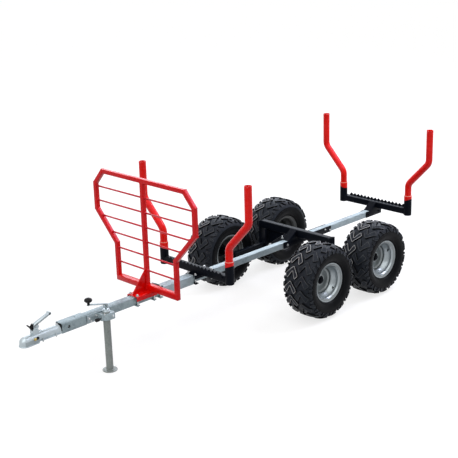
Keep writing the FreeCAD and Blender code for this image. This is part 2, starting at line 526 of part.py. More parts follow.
def wheel(side, end, sign):
    """One wheel: tyre, rim and hub, each an outline turned about the axle."""
    at_x = f"(axle_x {sign} wheelbase / 2)"
    name = f"{side}_{end}"

    def turned(label, points):
        section = outline(f"{name}_{label}_outline", points, at=(at_x, "wheel_centre_y", WHEEL_Z))
        return spin(f"{name}_{label}_turned", section, at_x, WHEEL_Z)

    flange, bead, well = "rim_flange_diameter / 2", "bead_diameter / 2", "well_diameter / 2"
    half, thick = "rim_width / 2", "rim_plate"
    face, seat = f"({half} - disc_inset)", f"{bead} - seat_fall"
    barrel = turned("barrel", both_sides([
        (well, f"{half} - well_start"), (seat, f"{half} - seat_end"), (bead, f"{half} - seat_start"),
        (f"{bead} + flange_root", f"{half} - {thick} - flange_bend"), (flange, f"{half} - {thick}"),
        (flange, half), (f"{bead} - {thick}", f"{half} - {thick}"),
        (f"{seat} - {thick}", f"{half} - seat_end"), (f"{well} - {thick}", f"{half} - well_start")]))
    middle = f"{well} - {thick} / 2"
    disc = turned("disc", [("hub_diameter / 2", f"{face} - {thick}"), (middle, f"{face} - {thick}"),
                           (middle, face), ("hub_diameter / 2", face)])
    tread, wide, wall, gap = "tyre_diameter / 2", "tyre_width / 2", "tyre_wall", "socket_gap"
    tyre = turned("tyre", both_sides([
        (tread, f"{wide} - crown_edge"), (f"{tread} - shoulder_fall", f"{wide} - shoulder_edge"),
        (f"{tread} - wall_corner", f"{wide} - wall_corner_in"), (f"{tread} - wall_top", wide),
        (f"{tread} - wall_low", wide), (f"{flange} + wall_foot", f"{wide} - wall_foot_in"),
        (f"{flange} + bead_lip", f"{half} + bead_lip_out"), (flange, f"{half} - {thick} - {gap}"),
        (f"{bead} + flange_root + {gap}", f"{half} - {thick} - flange_bend - {gap}"),
        (f"{bead} + {gap}", f"{half} - seat_start - {gap}"),
        (f"{bead} + {gap}", f"{half} - seat_end + flange_bend"),
        (f"{bead} + {wall}", f"{half} - seat_end + flange_bend"),
        (f"{flange} + {wall} + flange_bend", f"{half} - {thick} - {wall}"),
        (f"{tread} - wall_low + {wall}", f"{wide} - {wall}"),
        (f"{tread} - wall_top + {wall}", f"{wide} - 2 * {wall}"),
        (f"{tread} - crown_wall", f"{wide} - crown_edge")]))
    inner, axle = f"{face} - {thick}", "stub_diameter / 2 + running_gap"
    hub = turned("hub", [
        (axle, "hub_out - hub_length"), ("hub_diameter / 2", "hub_out - hub_length"),
        ("hub_diameter / 2", f"{inner} - hub_flange"), ("hub_flange_diameter / 2", f"{inner} - hub_flange"),
        ("hub_flange_diameter / 2", inner), ("hub_diameter / 2", inner), ("hub_diameter / 2", "hub_out"),
        (axle, "hub_out")])
    for label, piece in (("tyre", tyre), ("rim", fuse(f"{name}_rim_whole", barrel, disc)), ("hub", hub)):
        if side == "right":
            piece = mirror(f"{name}_{label}_mirrored", piece)
        keep(piece, f"{name}_{label}")


# ---------------------------------------------------------------- jack
CLAMP_RADIUS = "(jack_tube_diameter / 2 + clamp_wall)"
JACK_Y = f"({DRAWBAR_HALF} + clamp_stand_off + {CLAMP_RADIUS})"


def jack_clamp():
    """A bracket bolted to the drawbar's left side, square behind the jack's tube and round before it."""
    low = "(clamp_top_z - clamp_height)"
    rear, front = "(jack_x - clamp_length / 2)", "(jack_x + clamp_length / 2)"
    plate = block("clamp_back_plate", (rear, "jack_x + clamp_plate_tail"),
                  (DRAWBAR_HALF, f"{DRAWBAR_HALF} + clamp_plate"),
                  (f"{DRAWBAR_FOOT} + clamp_inset", f"{DRAWBAR_TOP} - clamp_inset"))
    z = (low, "clamp_top_z")
    jaw = block("clamp_jaw", (rear, "jack_x"), (DRAWBAR_HALF, f"{JACK_Y} + {CLAMP_RADIUS}"), z)
    nose = rod("clamp_nose", f"2 * {CLAMP_RADIUS}", "clamp_height", ("jack_x", JACK_Y, low))
    neck = block("clamp_neck", ("jack_x", front), (DRAWBAR_HALF, f"{JACK_Y} + clamp_ear"), z)
    room = rod("clamp_room", "jack_tube_diameter + 2 * socket_gap", f"clamp_height + 2 * {PAST}",
               ("jack_x", JACK_Y, f"{low} - {PAST}"))
    keep(cut("jack_clamp_body", fuse("clamp_blank", plate, jaw, nose, neck), room), "jack_clamp")
    stud_z = f"{low} + clamp_height / 3"
    stud = rod("clamp_stud", "stud_diameter", "stud_length + grip_length", (front, JACK_Y, stud_z), "x")
    grip_at = (f"{front} + stud_length", JACK_Y, stud_z)
    keep(fuse("clamp_knob", stud, rod("clamp_grip", "grip_diameter", "grip_length", grip_at, "x")),
         "jack_clamp_handle")


def jack():
    """The outer tube slides in the clamp. The leg slides in the tube and carries the foot."""
    tube_foot, lid = "(jack_foot_plate + jack_leg_gap)", "(jack_top_z + jack_lid)"
    outside = rod("jack_outside", "jack_tube_diameter", f"jack_top_z - {tube_foot}",
                  ("jack_x", JACK_Y, tube_foot))
    inside = rod("jack_inside", "jack_tube_diameter - 2 * jack_wall", f"jack_top_z - {tube_foot}",
                 ("jack_x", JACK_Y, f"{tube_foot} - {PAST}"))
    cap = rod("jack_cap", "jack_cap_diameter", "jack_lid", ("jack_x", JACK_Y, "jack_top_z"))
    keep(fuse("jack_tube_body", cut("jack_tube_shell", outside, inside), cap), "jack_tube")
    # crank: a spindle, a folded hook over it, and a flat arm that reaches out to the knob
    top = f"({lid} + spindle_rise)"
    spindle = rod("crank_spindle", "spindle_diameter", "spindle_rise", ("jack_x", JACK_Y, lid))
    hook = rod("crank_hook", "crank_width", "crank_hook", ("jack_x", JACK_Y, f"{top} - crank_hook"))
    half = "crank_width / 2"
    corners = [("0", f"-{half}"), ("crank_reach", f"-{half}"), ("crank_reach", half), ("0", half)]
    strip = outline("crank_outline", corners, Rotation(Z * -1, size("crank_yaw")),
                    ("jack_x", JACK_Y, f"{top} - crank_bar"))
    bind(strip, Placement__Rotation__Angle="crank_yaw")
    arm = extrude("crank_arm", strip, "crank_bar", symmetric=False)
    keep(fuse("crank", spindle, hook, arm), "jack_crank")
    grip = ("jack_x + (crank_reach - crank_width / 2) * cos(crank_yaw)",
            f"{JACK_Y} - (crank_reach - crank_width / 2) * sin(crank_yaw)")
    stem = rod("knob_stem_bar", "knob_stem", "knob_stem_rise + knob_rise / 2", (*grip, top))
    head = doc.addObject("Part::Ellipsoid", "knob_head")
    bind(head, Radius1="knob_rise / 2", Radius2="knob_diameter / 2")
    put(head, (*grip, f"{top} + knob_stem_rise + knob_rise / 2"))
    keep(fuse("knob", stem, head), "crank_knob")
    leg = rod("leg_bar", "jack_tube_diameter - 2 * jack_wall - 2 * socket_gap", "jack_leg_length",
              ("jack_x", JACK_Y, "jack_foot_plate"))
    foot = rod("leg_foot", "jack_foot_diameter", "jack_foot_plate", ("jack_x", JACK_Y, "0"))
    keep(fuse("leg_and_foot", leg, foot), "jack_leg")


# ---------------------------------------------------------------- coupling
CUP = "(ball_diameter / 2 + cup_wall)"
CUP_LOW = "(ball_z - cup_depth)"
EAR_OUT = "(ear_spacing / 2 + ear_plate)"
LEVER_PIVOT_Z = "(coupling_roof_z + lever_pivot_rise)"


def ball_shape(name, radius, height):
    """A domed cylinder that stands up to the ball's centre from a height below it."""
    dome = doc.addObject("Part::Sphere", name + "_dome")
    bind(dome, Radius=radius)
    put(dome, ("ball_x", "0", "ball_z"))
    lower = rod(name + "_trim", f"3 * {radius}", radius, ("ball_x", "0", f"ball_z - {radius}"))
    skirt = rod(name + "_skirt", f"2 * {radius}", height, ("ball_x", "0", f"ball_z - {height}"))
    return fuse(name, cut(name + "_upper", dome, lower), skirt)


def shank(name, half, low, high, x):
    """A bar along X with a round top: a box up to the round's centre, and the upper part of the round."""
    box = block(name + "_box", x, (f"-{half}", half), (low, f"{high} - {half}"))
    crown = rod(name + "_round", f"2 * {half}", f"({x[1]}) - ({x[0]})", (x[0], "0", f"{high} - {half}"), "x")
    below = block(name + "_below", (f"{x[0]} - {PAST}", f"{x[1]} + {PAST}"), (f"-2 * {half}", f"2 * {half}"),
                  (f"{low} - 2 * {half}", low))
    return fuse(name, box, cut(name + "_crown", crown, below))


def coupling_head():
    neck, start = "coupling_neck_x", "(drawbar_front_x + lip_rear_gap)"
    half, plate = f"({DRAWBAR_HALF} - slip_gap)", "coupling_plate"  # the shank fills the bore of the mouth
    inner = f"({half} - {plate})"
    whole = shank("coupling_shank", half, "coupling_foot_z", "coupling_roof_z", ("coupling_rear_x", neck))
    room = shank("coupling_shank_room", inner, f"coupling_foot_z - {PAST}", f"coupling_roof_z - {plate}",
                 (f"coupling_rear_x - {PAST}", f"{neck} + {PAST}"))
    nose = extrude("coupling_nose", outline("coupling_nose_plan", [
        (neck, f"-{half}"), ("ball_x", f"-{CUP}"), ("ball_x", CUP), (neck, half)], at=("0", "0", CUP_LOW)),
        f"coupling_roof_z - {CUP_LOW}", symmetric=False)
    nose_room = block("coupling_nose_room", (neck, f"ball_x - {CUP}"), (f"-{inner}", inner),
                      (f"{CUP_LOW} - {PAST}", f"coupling_roof_z - {plate}"))
    lips = block("coupling_lips", (start, f"{neck} - lip_front_gap"),
                 (f"-{half} - lip_width", f"{half} + lip_width"),
                 ("coupling_foot_z", f"coupling_foot_z + {plate}"))
    ears_x = ("lever_pivot_x - ear_length / 2", "lever_pivot_x + ear_length / 2")
    ears = block("coupling_ears_bar", ears_x, (f"-{EAR_OUT}", EAR_OUT),
                 ("coupling_roof_z - ear_root", "coupling_roof_z + ear_rise"))
    between = block("coupling_ears_room", (f"{ears_x[0]} - {PAST}", f"{ears_x[1]} + {PAST}"),
                    ("-ear_spacing / 2", "ear_spacing / 2"),
                    ("coupling_roof_z", f"coupling_roof_z + ear_rise + {PAST}"))
    pivot_room = rod("coupling_pivot_room", "lever_pivot_diameter", f"4 * {EAR_OUT}",
                     ("lever_pivot_x", f"-2 * {EAR_OUT}", LEVER_PIVOT_Z), "y")
    ball_room = ball_shape("coupling_ball_room", "(ball_diameter / 2 + ball_gap)", f"(cup_depth + {PAST})")
    blank = fuse("coupling_blank", whole, nose, ball_shape("coupling_cup", CUP, "cup_depth"), lips,
                 cut("coupling_ears", ears, between, pivot_room))
    keep(cut("coupling_body", blank, room, nose_room, ball_room), "coupling_head")


def coupling_lever():
    """The latch lever: a pin through the ears, and a bar that rises rearwards above them."""
    def along(reach, lift):
        return (f"lever_pivot_x - ({reach}) * cos(lever_angle) + ({lift}) * sin(lever_angle)",
                f"{LEVER_PIVOT_Z} + ({reach}) * sin(lever_angle) + ({lift}) * cos(lever_angle)")

    top = "lever_lift + lever_depth"
    foot = "-lever_pivot_diameter"
    corners = [along("-lever_depth", foot), along("lever_root", foot), along("lever_root", "lever_lift"),
               along("lever_length", "lever_lift"), along("lever_length", top), along("-lever_depth", top)]
    bar = extrude("lever_bar", outline("lever_outline", corners, FACING_SIDE), "lever_width")
    pin = rod("lever_pin", "lever_pivot_diameter", f"2 * {EAR_OUT}",
              ("lever_pivot_x", f"-{EAR_OUT}", LEVER_PIVOT_Z), "y")
    keep(fuse("lever", bar, pin), "coupling_lever")


backbone()
headboard()
for end, station, tooth_side in (("front", "front_bolster_x", 1), ("rear", "rear_bolster_x", -1)):
    bolster(end, station, tooth_side)
    stakes(end, station)
front_saddle()
clamp_bars()
shoes()
cross_beam()
bogie_arm()
for side in ("left", "right"):
    for end, sign in (("front", "+"), ("rear", "-")):
        wheel(side, end, sign)
jack_clamp()
jack()
coupling_head()
coupling_lever()

# ---------------------------------------------------------------- build, check and write
doc.recompute()
for item in doc.Objects:
    if "Invalid" in item.State or "Error" in item.State:
        raise RuntimeError(f"{item.Label} did not build: {item.State}")
os.makedirs("parts", exist_ok=True)
for piece in parts:
    shape = piece.Shape
    if shape.isNull() or not shape.isValid():
        raise RuntimeError(f"{piece.Label} has no valid shape")
for piece in parts:
    piece.Shape.exportStep(f"parts/{piece.Label}.step")
    print(f"{piece.Label}: {len(piece.Shape.Solids)} solid(s), {piece.Shape.Volume / 1000:.1f} cm3")
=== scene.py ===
"""Looks of the forestry trailer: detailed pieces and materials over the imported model, a studio and a camera.

Shapes are drawn in millimetres in the model's own frame: +X forwards to the coupling, +Y to the left, +Z up.
Each mesh is turned to metres as its piece is made.
"""

from itertools import accumulate, product
from math import atan2, cos, dist, hypot, pi, prod, radians, sin, sqrt, tan

import bmesh
import bpy
from mathutils import Matrix, Vector


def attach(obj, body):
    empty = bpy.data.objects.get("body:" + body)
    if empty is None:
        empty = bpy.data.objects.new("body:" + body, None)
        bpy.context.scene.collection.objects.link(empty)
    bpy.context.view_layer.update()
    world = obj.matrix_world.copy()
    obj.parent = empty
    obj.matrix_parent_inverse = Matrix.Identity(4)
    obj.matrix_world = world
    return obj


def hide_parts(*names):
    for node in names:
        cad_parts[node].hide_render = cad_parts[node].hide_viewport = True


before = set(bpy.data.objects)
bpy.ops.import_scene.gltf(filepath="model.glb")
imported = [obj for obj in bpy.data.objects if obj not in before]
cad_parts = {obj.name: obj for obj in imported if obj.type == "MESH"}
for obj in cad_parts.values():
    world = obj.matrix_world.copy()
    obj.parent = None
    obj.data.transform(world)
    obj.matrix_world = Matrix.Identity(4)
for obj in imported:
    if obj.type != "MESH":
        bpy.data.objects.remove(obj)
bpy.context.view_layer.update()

MM = 0.001
X, Y, Z = Vector((1, 0, 0)), Vector((0, 1, 0)), Vector((0, 0, 1))
BEAM_Z = 393
RED, BLACK, GALVANISED = "red_paint", "black_paint", "galvanised_steel"
PLASTIC, JACK_ZINC, RUBBER = "black_plastic", "jack_zinc", "tyre_rubber"
BOTH_SIDES = ((1, "left"), (-1, "right"))


# ---- materials
def add_node(tree, kind, values=(), wires=()):
    """A new shader node, with these values in its sockets and these outputs wired to them."""
    made = tree.nodes.new("ShaderNode" + kind)
    for socket, value in values:
        made.inputs[socket].default_value = value
    for socket, source in wires:
        tree.links.new(source, made.inputs[socket])
    return made


class Look:
    """A material built from nodes that read the model's own coordinates."""

    def __init__(self, name, metallic=0.0, specular=0.5, coat=0.0, gloss=(1, 1, 1)):
        self.made = bpy.data.materials.new(name)
        self.made.use_nodes = True
        self.tree = self.made.node_tree
        self.shader = self.tree.nodes["Principled BSDF"]
        for socket, value in (("Metallic", metallic), ("Specular IOR Level", specular), ("Coat Weight", coat),
                              ("Coat Roughness", 0.12), ("Specular Tint", (*gloss, 1))):
            self.shader.inputs[socket].default_value = value
        self.place = self.node("TexCoord").outputs["Object"]

    def node(self, kind, values=(), wires=()):
        return add_node(self.tree, kind, values, wires)

    def noise(self, scale, detail=3.0, roughness=0.5):
        made = self.node("TexNoise", [("Scale", scale), ("Detail", detail), ("Roughness", roughness)],
                         [("Vector", self.place)])
        return made.outputs["Fac"]

    def flakes(self, scale):
        """A random tone for each cell, as the crystals of a zinc coat have."""
        cells = self.node("TexVoronoi", [("Scale", scale)], [("Vector", self.place)])
        tones = self.node("SeparateColor", wires=[("Color", cells.outputs["Color"])])
        return tones.outputs["Red"]

    def span(self, value, low, high, start=0.0, end=1.0):
        """The value's range from start to end, stretched to run from low to high."""
        made = self.node("MapRange", [("From Min", start), ("From Max", end), ("To Min", low),
                                                ("To Max", high)], [("Value", value)])
        return made.outputs["Result"]

    def sum(self, first, second, share):
        """first plus share times second."""
        made = self.node("Math", [(1, share)], [(0, second), (2, first)])
        made.operation = "MULTIPLY_ADD"
        return made.outputs["Value"]

    def tint(self, value, dark, light, low=0.0, high=1.0):
        made = self.node("ValToRGB", wires=[("Fac", value)])
        for element, at, colour in zip(made.color_ramp.elements, (low, high), (dark, light)):
            element.position, element.color = at, (*colour, 1)
        return made.outputs["Color"]

    def finish(self, colour, roughness, height, strength, depth):
        """Wire up the colour, the roughness and a bump of that depth in metres."""
        bump = self.node("Bump", [("Strength", strength), ("Distance", depth)], [("Height", height)])
        for socket, source in (("Base Color", colour), ("Roughness", roughness),
                               ("Normal", bump.outputs["Normal"])):
            self.tree.links.new(source, self.shader.inputs[socket])
        return self.made


def zinc_look(name, dark, light, metallic, rough, flake, spread, relief=0.25):
    """Galvanised steel: crystals of slightly different greys under a cloudy bloom."""
    look = Look(name, metallic=metallic)
    cloud = look.noise(7, 4, 0.55)
    tone = look.sum(look.span(cloud, 0.1, 0.9, 0.3, 0.7), look.flakes(flake), spread)
    grain = look.noise(420, 2)
    roughness = look.span(look.flakes(flake), rough, rough + 0.45 * spread)
    height = look.sum(look.noise(60, 3), grain, 0.4)
    return look.finish(look.tint(tone, dark, light, 0.1, 0.95), roughness, height, relief, 0.0006)


def paint_look(name, dark, light, rough, specular, coat, grain, depth, gloss=(1, 1, 1)):
    """Sprayed or baked paint: a little uneven in tone, with orange peel."""
    look = Look(name, specular=specular, coat=coat, gloss=gloss)
    cloud = look.span(look.noise(9, 4, 0.6), 0, 1, 0.3, 0.7)
    roughness = look.span(look.noise(35, 3), rough - 0.05, rough + 0.07, 0.3, 0.7)
    height = look.sum(look.noise(grain, 3, 0.6), look.noise(grain / 9, 2), 0.6)
    return look.finish(look.tint(cloud, dark, light), roughness, height, 0.3, depth)


def rubber_look(name, dark, light, rough, specular):
    """Matt rubber, dusty in patches."""
    look = Look(name, specular=specular)
    dust = look.span(look.noise(22, 5, 0.65), 0, 1, 0.3, 0.7)
    roughness = look.span(look.noise(80, 3), rough - 0.06, rough + 0.08, 0.3, 0.7)
    height = look.sum(look.noise(260, 4, 0.7), look.noise(40, 2), 0.5)
    return look.finish(look.tint(dust, dark, light), roughness, height, 0.35, 0.0009)


ROSE = (1.0, 0.70, 1.0)
red = paint_look("signal_red", (0.66, 0.003, 0.001), (0.80, 0.004, 0.002), 0.28, 0.20, 0.06, 700, 0.0004, ROSE)
stake_red = paint_look("stake_red", (0.84, 0.008, 0.002), (0.96, 0.012, 0.004), 0.26, 0.20, 0.06, 700, 0.0004, ROSE)
# Red with a pinkish cast for the headboard bars: a painted sheen.
rod_red_painted_sheen = paint_look("rod_red_painted_sheen", (0.60, 0.014, 0.022), (0.70, 0.020, 0.030), 0.30, 0.20, 0.06, 700, 0.0004, ROSE)
# A light pink paint for the bead on each stake collar's top: a painted highlight.
collar_painted_highlight = paint_look("collar_painted_highlight", (0.86, 0.34, 0.26), (0.92, 0.46, 0.38), 0.30, 0.20, 0.0, 900, 0.0002)
black = paint_look("satin_black", (0.0022, 0.0032, 0.0060), (0.0042, 0.0060, 0.0108), 0.38, 0.055, 0.0, 900, 0.0005)
plastic = paint_look("black_grip", (0.006, 0.006, 0.007), (0.010, 0.010, 0.011), 0.38, 0.15, 0.0, 1500, 0.0004)

galvanised = zinc_look("galvanised", (0.13, 0.172, 0.192), (0.29, 0.36, 0.385), 0.5, 0.34, 95, 0.50)
# A lighter copy of galvanised for the beam, sleeve and jack bracket: painted light that offsets their shade.
beam_zinc_painted_light = zinc_look("beam_zinc_painted_light", (0.215, 0.275, 0.305), (0.39, 0.475, 0.51), 0.32, 0.38, 95, 0.42)
bright = zinc_look("pressed_zinc", (0.41, 0.475, 0.51), (0.55, 0.625, 0.66), 0.5, 0.30, 110, 0.10, 0.1)
# A darker copy of pressed_zinc for side and front faces: painted shade.
pressed_side_painted_shade = zinc_look("pressed_side_painted_shade", (0.26, 0.31, 0.33), (0.38, 0.435, 0.455), 0.5, 0.28, 110, 0.10, 0.1)
# A dark zinc copy for the sides of the levers, the crank strip and one pin: painted shade.
lever_side_painted_shade = zinc_look("lever_side_painted_shade", (0.09, 0.10, 0.105), (0.17, 0.185, 0.19), 0.5, 0.35, 110, 0.10, 0.1)
jack_zinc = zinc_look("jack_grey", (0.145, 0.168, 0.162), (0.275, 0.30, 0.29), 0.3, 0.36, 120, 0.40)
bolt_zinc = zinc_look("bolt_zinc", (0.40, 0.42, 0.43), (0.58, 0.60, 0.61), 0.75, 0.24, 400, 0.3)
yellow_zinc = zinc_look("yellow_zinc", (0.36, 0.26, 0.06), (0.56, 0.44, 0.16), 0.75, 0.26, 300, 0.4)
rim_steel = zinc_look("rim_silver", (0.33, 0.37, 0.39), (0.37, 0.41, 0.43), 0.62, 0.30, 34, 0.03, 0.01)
# A darker copy of the rim's silver for the disc and the groove band: painted shade.
rim_disc_painted_shade = zinc_look("rim_disc_painted_shade", (0.17, 0.192, 0.20), (0.27, 0.295, 0.30), 0.55, 0.28, 22, 0.04, 0.03)
# A near-black copy for the rim's inward faces: painted shade.
rim_inner_painted_shade = zinc_look("rim_inside_painted_shade", (0.035, 0.037, 0.038), (0.075, 0.08, 0.08), 0.3, 0.4, 22, 0.05)

rubber = rubber_look("tyre_rubber", (0.012, 0.015, 0.020), (0.030, 0.035, 0.045), 0.42, 0.08)
# Lighter rubber for the rings round the lug tops: a painted highlight; the next is a fainter painted highlight.
rubber_edge_painted_highlight = rubber_look("tyre_edge_painted_highlight", (0.20, 0.205, 0.215), (0.50, 0.50, 0.50), 0.6, 0.2)
rubber_faint_painted_highlight = rubber_look("tyre_faint_painted_highlight", (0.016, 0.019, 0.024), (0.085, 0.090, 0.096), 0.5, 0.15)
# A darker rubber copy for the sidewalls and the lug walls: painted shade.
sidewall_painted_shade = rubber_look("tyre_sidewall_painted_shade", (0.0030, 0.0033, 0.0042), (0.0060, 0.0065, 0.0080), 0.38, 0.055)


# ---- drawing kit
def put(name, data):
    """A new object in the scene."""
    made = bpy.data.objects.new(name, data)
    bpy.context.scene.collection.objects.link(made)
    return made


def mesh_of(bm, name):
    """The drawing as a mesh; the drawing is freed."""
    mesh = bpy.data.meshes.new(name)
    bm.to_mesh(mesh)
    bm.free()
    return mesh


def axes_of(direction):
    """Two axes across a direction, and the direction itself."""
    along = Vector(direction).normalized()
    first = (X if abs(along.x) < 0.9 else Y).cross(along).normalized()
    return first, along.cross(first), along


def circle(radius, count, turn=0.0):
    steps = [2 * pi * (index + turn) / count for index in range(count)]
    return [(radius * cos(a), radius * sin(a)) for a in steps]


def rounded(width, height, radius, steps=4):
    """A rectangle with round corners, as points round its middle."""
    turns = circle(radius, 4 * steps) * 2
    return [(sx * (width / 2 - radius) + u, sy * (height / 2 - radius) + v)
            for quarter, (sx, sy) in enumerate(((1, 1), (-1, 1), (-1, -1), (1, -1)))
            for u, v in turns[quarter * steps:(quarter + 1) * steps + 1]]


def skin(bm, rings, closed=False, caps=True, around=True, look=0):
    """Faces between rings of points. closed joins the last ring to the first, caps fills both end rings."""
    made = [[bm.verts.new(p) for p in ring] for ring in rings]
    faces = []
    for low, high in list(zip(made, made[1:])) + ([(made[-1], made[0])] if closed else []):
        count = len(low)
        for index in range(count if around else count - 1):
            after = (index + 1) % count
            faces.append(bm.faces.new((low[index], low[after], high[after], high[index])))
    if caps and not closed:
        faces += [bm.faces.new(made[0][::-1]), bm.faces.new(made[-1])]
    for face in faces:
        face.material_index = look


def lathe(bm, at, direction, profile, count=24, closed=False, look=0, turn=0.0):
    """Turn points (radius, height) about an axis."""
    first, second, along = axes_of(direction)
    skin(bm, [[Vector(at) + along * height + first * u + second * v
               for u, v in circle(max(radius, 0.02), count, turn)] for radius, height in profile], closed, look=look)


def tube(bm, start, end, section, inner=None):
    """A bar or pipe along an axis between two points, its ends nipped in a little; inner is its bore."""
    start, end, nip = Vector(start), Vector(end), 0.8
    along = (end - start).normalized()
    first, second = [axis for axis in (X, Y, Z) if abs(axis.dot(along)) < 0.5]

    def ring(at, points, less=0.0):
        return [at + (first * u + second * v) * (1 - less / hypot(u, v)) for u, v in points]

    rings = [ring(start, section, nip), ring(start + along * nip, section), ring(end - along * nip, section),
             ring(end, section, nip)]
    if inner:
        rings += [ring(end, inner), ring(start, inner)]
    skin(bm, rings, closed=bool(inner))


def round_edges(bm, faces, radius, segments=2, angle=25):
    """Round the sharp edges of these faces."""
    edges = {edge for face in faces for edge in face.edges}
    sharp = [edge for edge in edges if len(edge.link_faces) == 2
             and edge.calc_face_angle(0) > radians(angle)]
    if sharp and radius:
        bmesh.ops.bevel(bm, geom=sharp, offset=radius, segments=segments, profile=0.5, affect="EDGES",
                        clamp_overlap=True, material=-1)


def placed(plane, u, v, w):
    """The place of a point drawn in a plane ("xy", "xz" or "yz"), w across it."""
    return {"xy": (u, v, w), "xz": (u, w, v), "yz": (w, u, v)}[plane]


def prism(bm, points, plane, low, high, radius=0.0, look=0, segments=2):
    """An outline drawn in a plane, extruded across it, with rounded edges."""
    other = bmesh.new()
    skin(other, [[placed(plane, u, v, w) for u, v in points] for w in (low, high)], look=look)
    bmesh.ops.recalc_face_normals(other, faces=other.faces)
    round_edges(other, other.faces, radius, segments)
    merge(bm, other)


def plates(bm, points, near, far, radius):
    """A pair of plates drawn in XZ, from near to far of the middle on each side."""
    for side in (-1, 1):
        prism(bm, points, "xz", *sorted((side * near, side * far)), radius)


def block(bm, x, y, z, radius=0.0, look=0):
    prism(bm, [(x[0], y[0]), (x[1], y[0]), (x[1], y[1]), (x[0], y[1])], "xy", *z, radius, look)


def merge(bm, other, move=None):
    """Copy another drawing in, and free it."""
    if move is not None:
        bmesh.ops.transform(other, matrix=move, verts=other.verts)
    spare = mesh_of(other, "spare")
    bm.from_mesh(spare)
    bpy.data.meshes.remove(spare)


def carve(bm, cutter):
    """The drawing less a closed cutter."""
    things = []
    for source in (bm, cutter):
        bmesh.ops.recalc_face_normals(source, faces=source.faces)
        things.append(put("carve", mesh_of(source, "carve")))
    step = things[0].modifiers.new("cut", "BOOLEAN")
    step.operation, step.solver, step.object = "DIFFERENCE", "EXACT", things[1]
    result = bpy.data.meshes.new_from_object(things[0].evaluated_get(bpy.context.evaluated_depsgraph_get()))
    made = bmesh.new()
    made.from_mesh(result)
    for mesh in [result] + [thing.data for thing in things]:
        bpy.data.meshes.remove(mesh)  # the objects that show it go too
    return made


def beside(path, index, closed=False):
    """The points before and after one; an open end is its own neighbour."""
    if closed:
        return path[index - 1], path[(index + 1) % len(path)]
    return path[max(index - 1, 0)], path[min(index + 1, len(path) - 1)]


def sweep(bm, path, section, across):
    """Carry a section along a path that lies in one plane; across is the plane's normal."""
    path = [Vector(p) for p in path]
    rings = []
    for index, at in enumerate(path):
        before, after = beside(path, index)
        side = (after - before).normalized().cross(across).normalized()
        rings.append([at + across * u + side * v for u, v in section])
    skin(bm, rings)


def weld(bm, points, radius, closed=False, look=0, step=3.2):
    """A rippled weld bead along a run of points."""
    points, path = [Vector(p) for p in points], []
    if closed:
        points.append(points[0])
    for start, end in zip(points, points[1:]):
        count = max(1, round((end - start).length / step))
        path += [start.lerp(end, index / count) for index in range(count)]
    if not closed:
        path.append(points[-1])
    rings = []
    for index, at in enumerate(path):
        before, after = beside(path, index, closed)
        first, second, _ = axes_of(after - before)
        size = radius * (1.0 + 0.16 * (index % 2) - 0.08)
        rings.append([at + first * u + second * v for u, v in circle(size, 6)])
    skin(bm, rings, closed=closed, look=look)


def weld_round(bm, plane, middle, across, section, radius, look=0, step=3.2):
    """A bead round a section drawn in a plane about its middle, at a distance across the plane."""
    points = [placed(plane, middle[0] + u, middle[1] + v, across) for u, v in section]
    weld(bm, points, radius, True, look, step)


def hexagon(bm, at, direction, across, height, look=0, turn=0.0, thread=0.0):
    """A bolt's head or a nut, chamfered, on a washer, with that much thread beyond it."""
    corner, washer, top = across / 2 / cos(pi / 6), across * 0.62, 2 + height
    lathe(bm, at, direction, [(across * 0.6, 0), (washer, 0.4), (washer, 1.6), (across * 0.6, 2)], 20, look=look)
    lathe(bm, at, direction, [(corner * 0.97, 1.9), (corner, 2.6), (corner, top - 1), (corner * 0.87, top)], 6,
          look=look, turn=turn)
    if thread:
        size, count = across * 0.29, max(2, int(thread / 1.6))
        profile = [(size, top - 0.1)]
        for index in range(count):
            up = top + thread * index / count
            profile += [(size, up), (size * 0.88, up + thread / count * 0.5)]
        lathe(bm, at, direction, profile + [(size * 0.7, top + thread)], 12, look=look)


def piece(name, bm, looks, slot, *stands_for, body="frame", sharp=32):
    """Turn a drawing in millimetres into a piece that rides on a body."""
    bmesh.ops.remove_doubles(bm, verts=bm.verts, dist=0.004)
    bmesh.ops.recalc_face_normals(bm, faces=bm.faces)
    bmesh.ops.scale(bm, vec=(MM, MM, MM), verts=bm.verts)
    mesh = mesh_of(bm, name)
    made = put(name, mesh)
    for look in looks if isinstance(looks, (list, tuple)) else [looks]:
        mesh.materials.append(look)
    mesh.shade_smooth()
    mesh.set_sharp_from_angle(angle=radians(sharp))
    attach(made, body)
    if stands_for:
        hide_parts(*stands_for)


def traced(node, radius, segments=2):
    """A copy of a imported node's shape, in millimetres, with its sharp edges rounded."""
    bm = bmesh.new()
    bm.from_mesh(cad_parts[node].data)
    bmesh.ops.scale(bm, vec=(1000, 1000, 1000), verts=bm.verts)
    bmesh.ops.remove_doubles(bm, verts=bm.verts, dist=0.02)
    bmesh.ops.dissolve_limit(bm, angle_limit=radians(1.0), verts=bm.verts, edges=bm.edges)
    bmesh.ops.recalc_face_normals(bm, faces=bm.faces)
    for face in bm.faces:
        face.material_index = 0
    round_edges(bm, bm.faces, radius, segments)
    return bm


# ---- beam, drawbar, sleeve and bridge
BEAM_ENDS, SLEEVE_ENDS, DRAWBAR_ENDS, MOUTH_ENDS = (-1819, 420), (376, 668), (380, 1442), (1332, 1525)
SIDE_HOLE_X, TOP_HOLE_X = 1472, 1400


def pipe(ends, size, wall, corner):
    """A square pipe along X, in line with the beam."""
    bm, bore = bmesh.new(), size - 2 * wall
    tube(bm, *((x, 0, BEAM_Z) for x in ends), rounded(size, size, corner),
         rounded(bore, bore, max(corner - wall, 1.2)))
    return bm


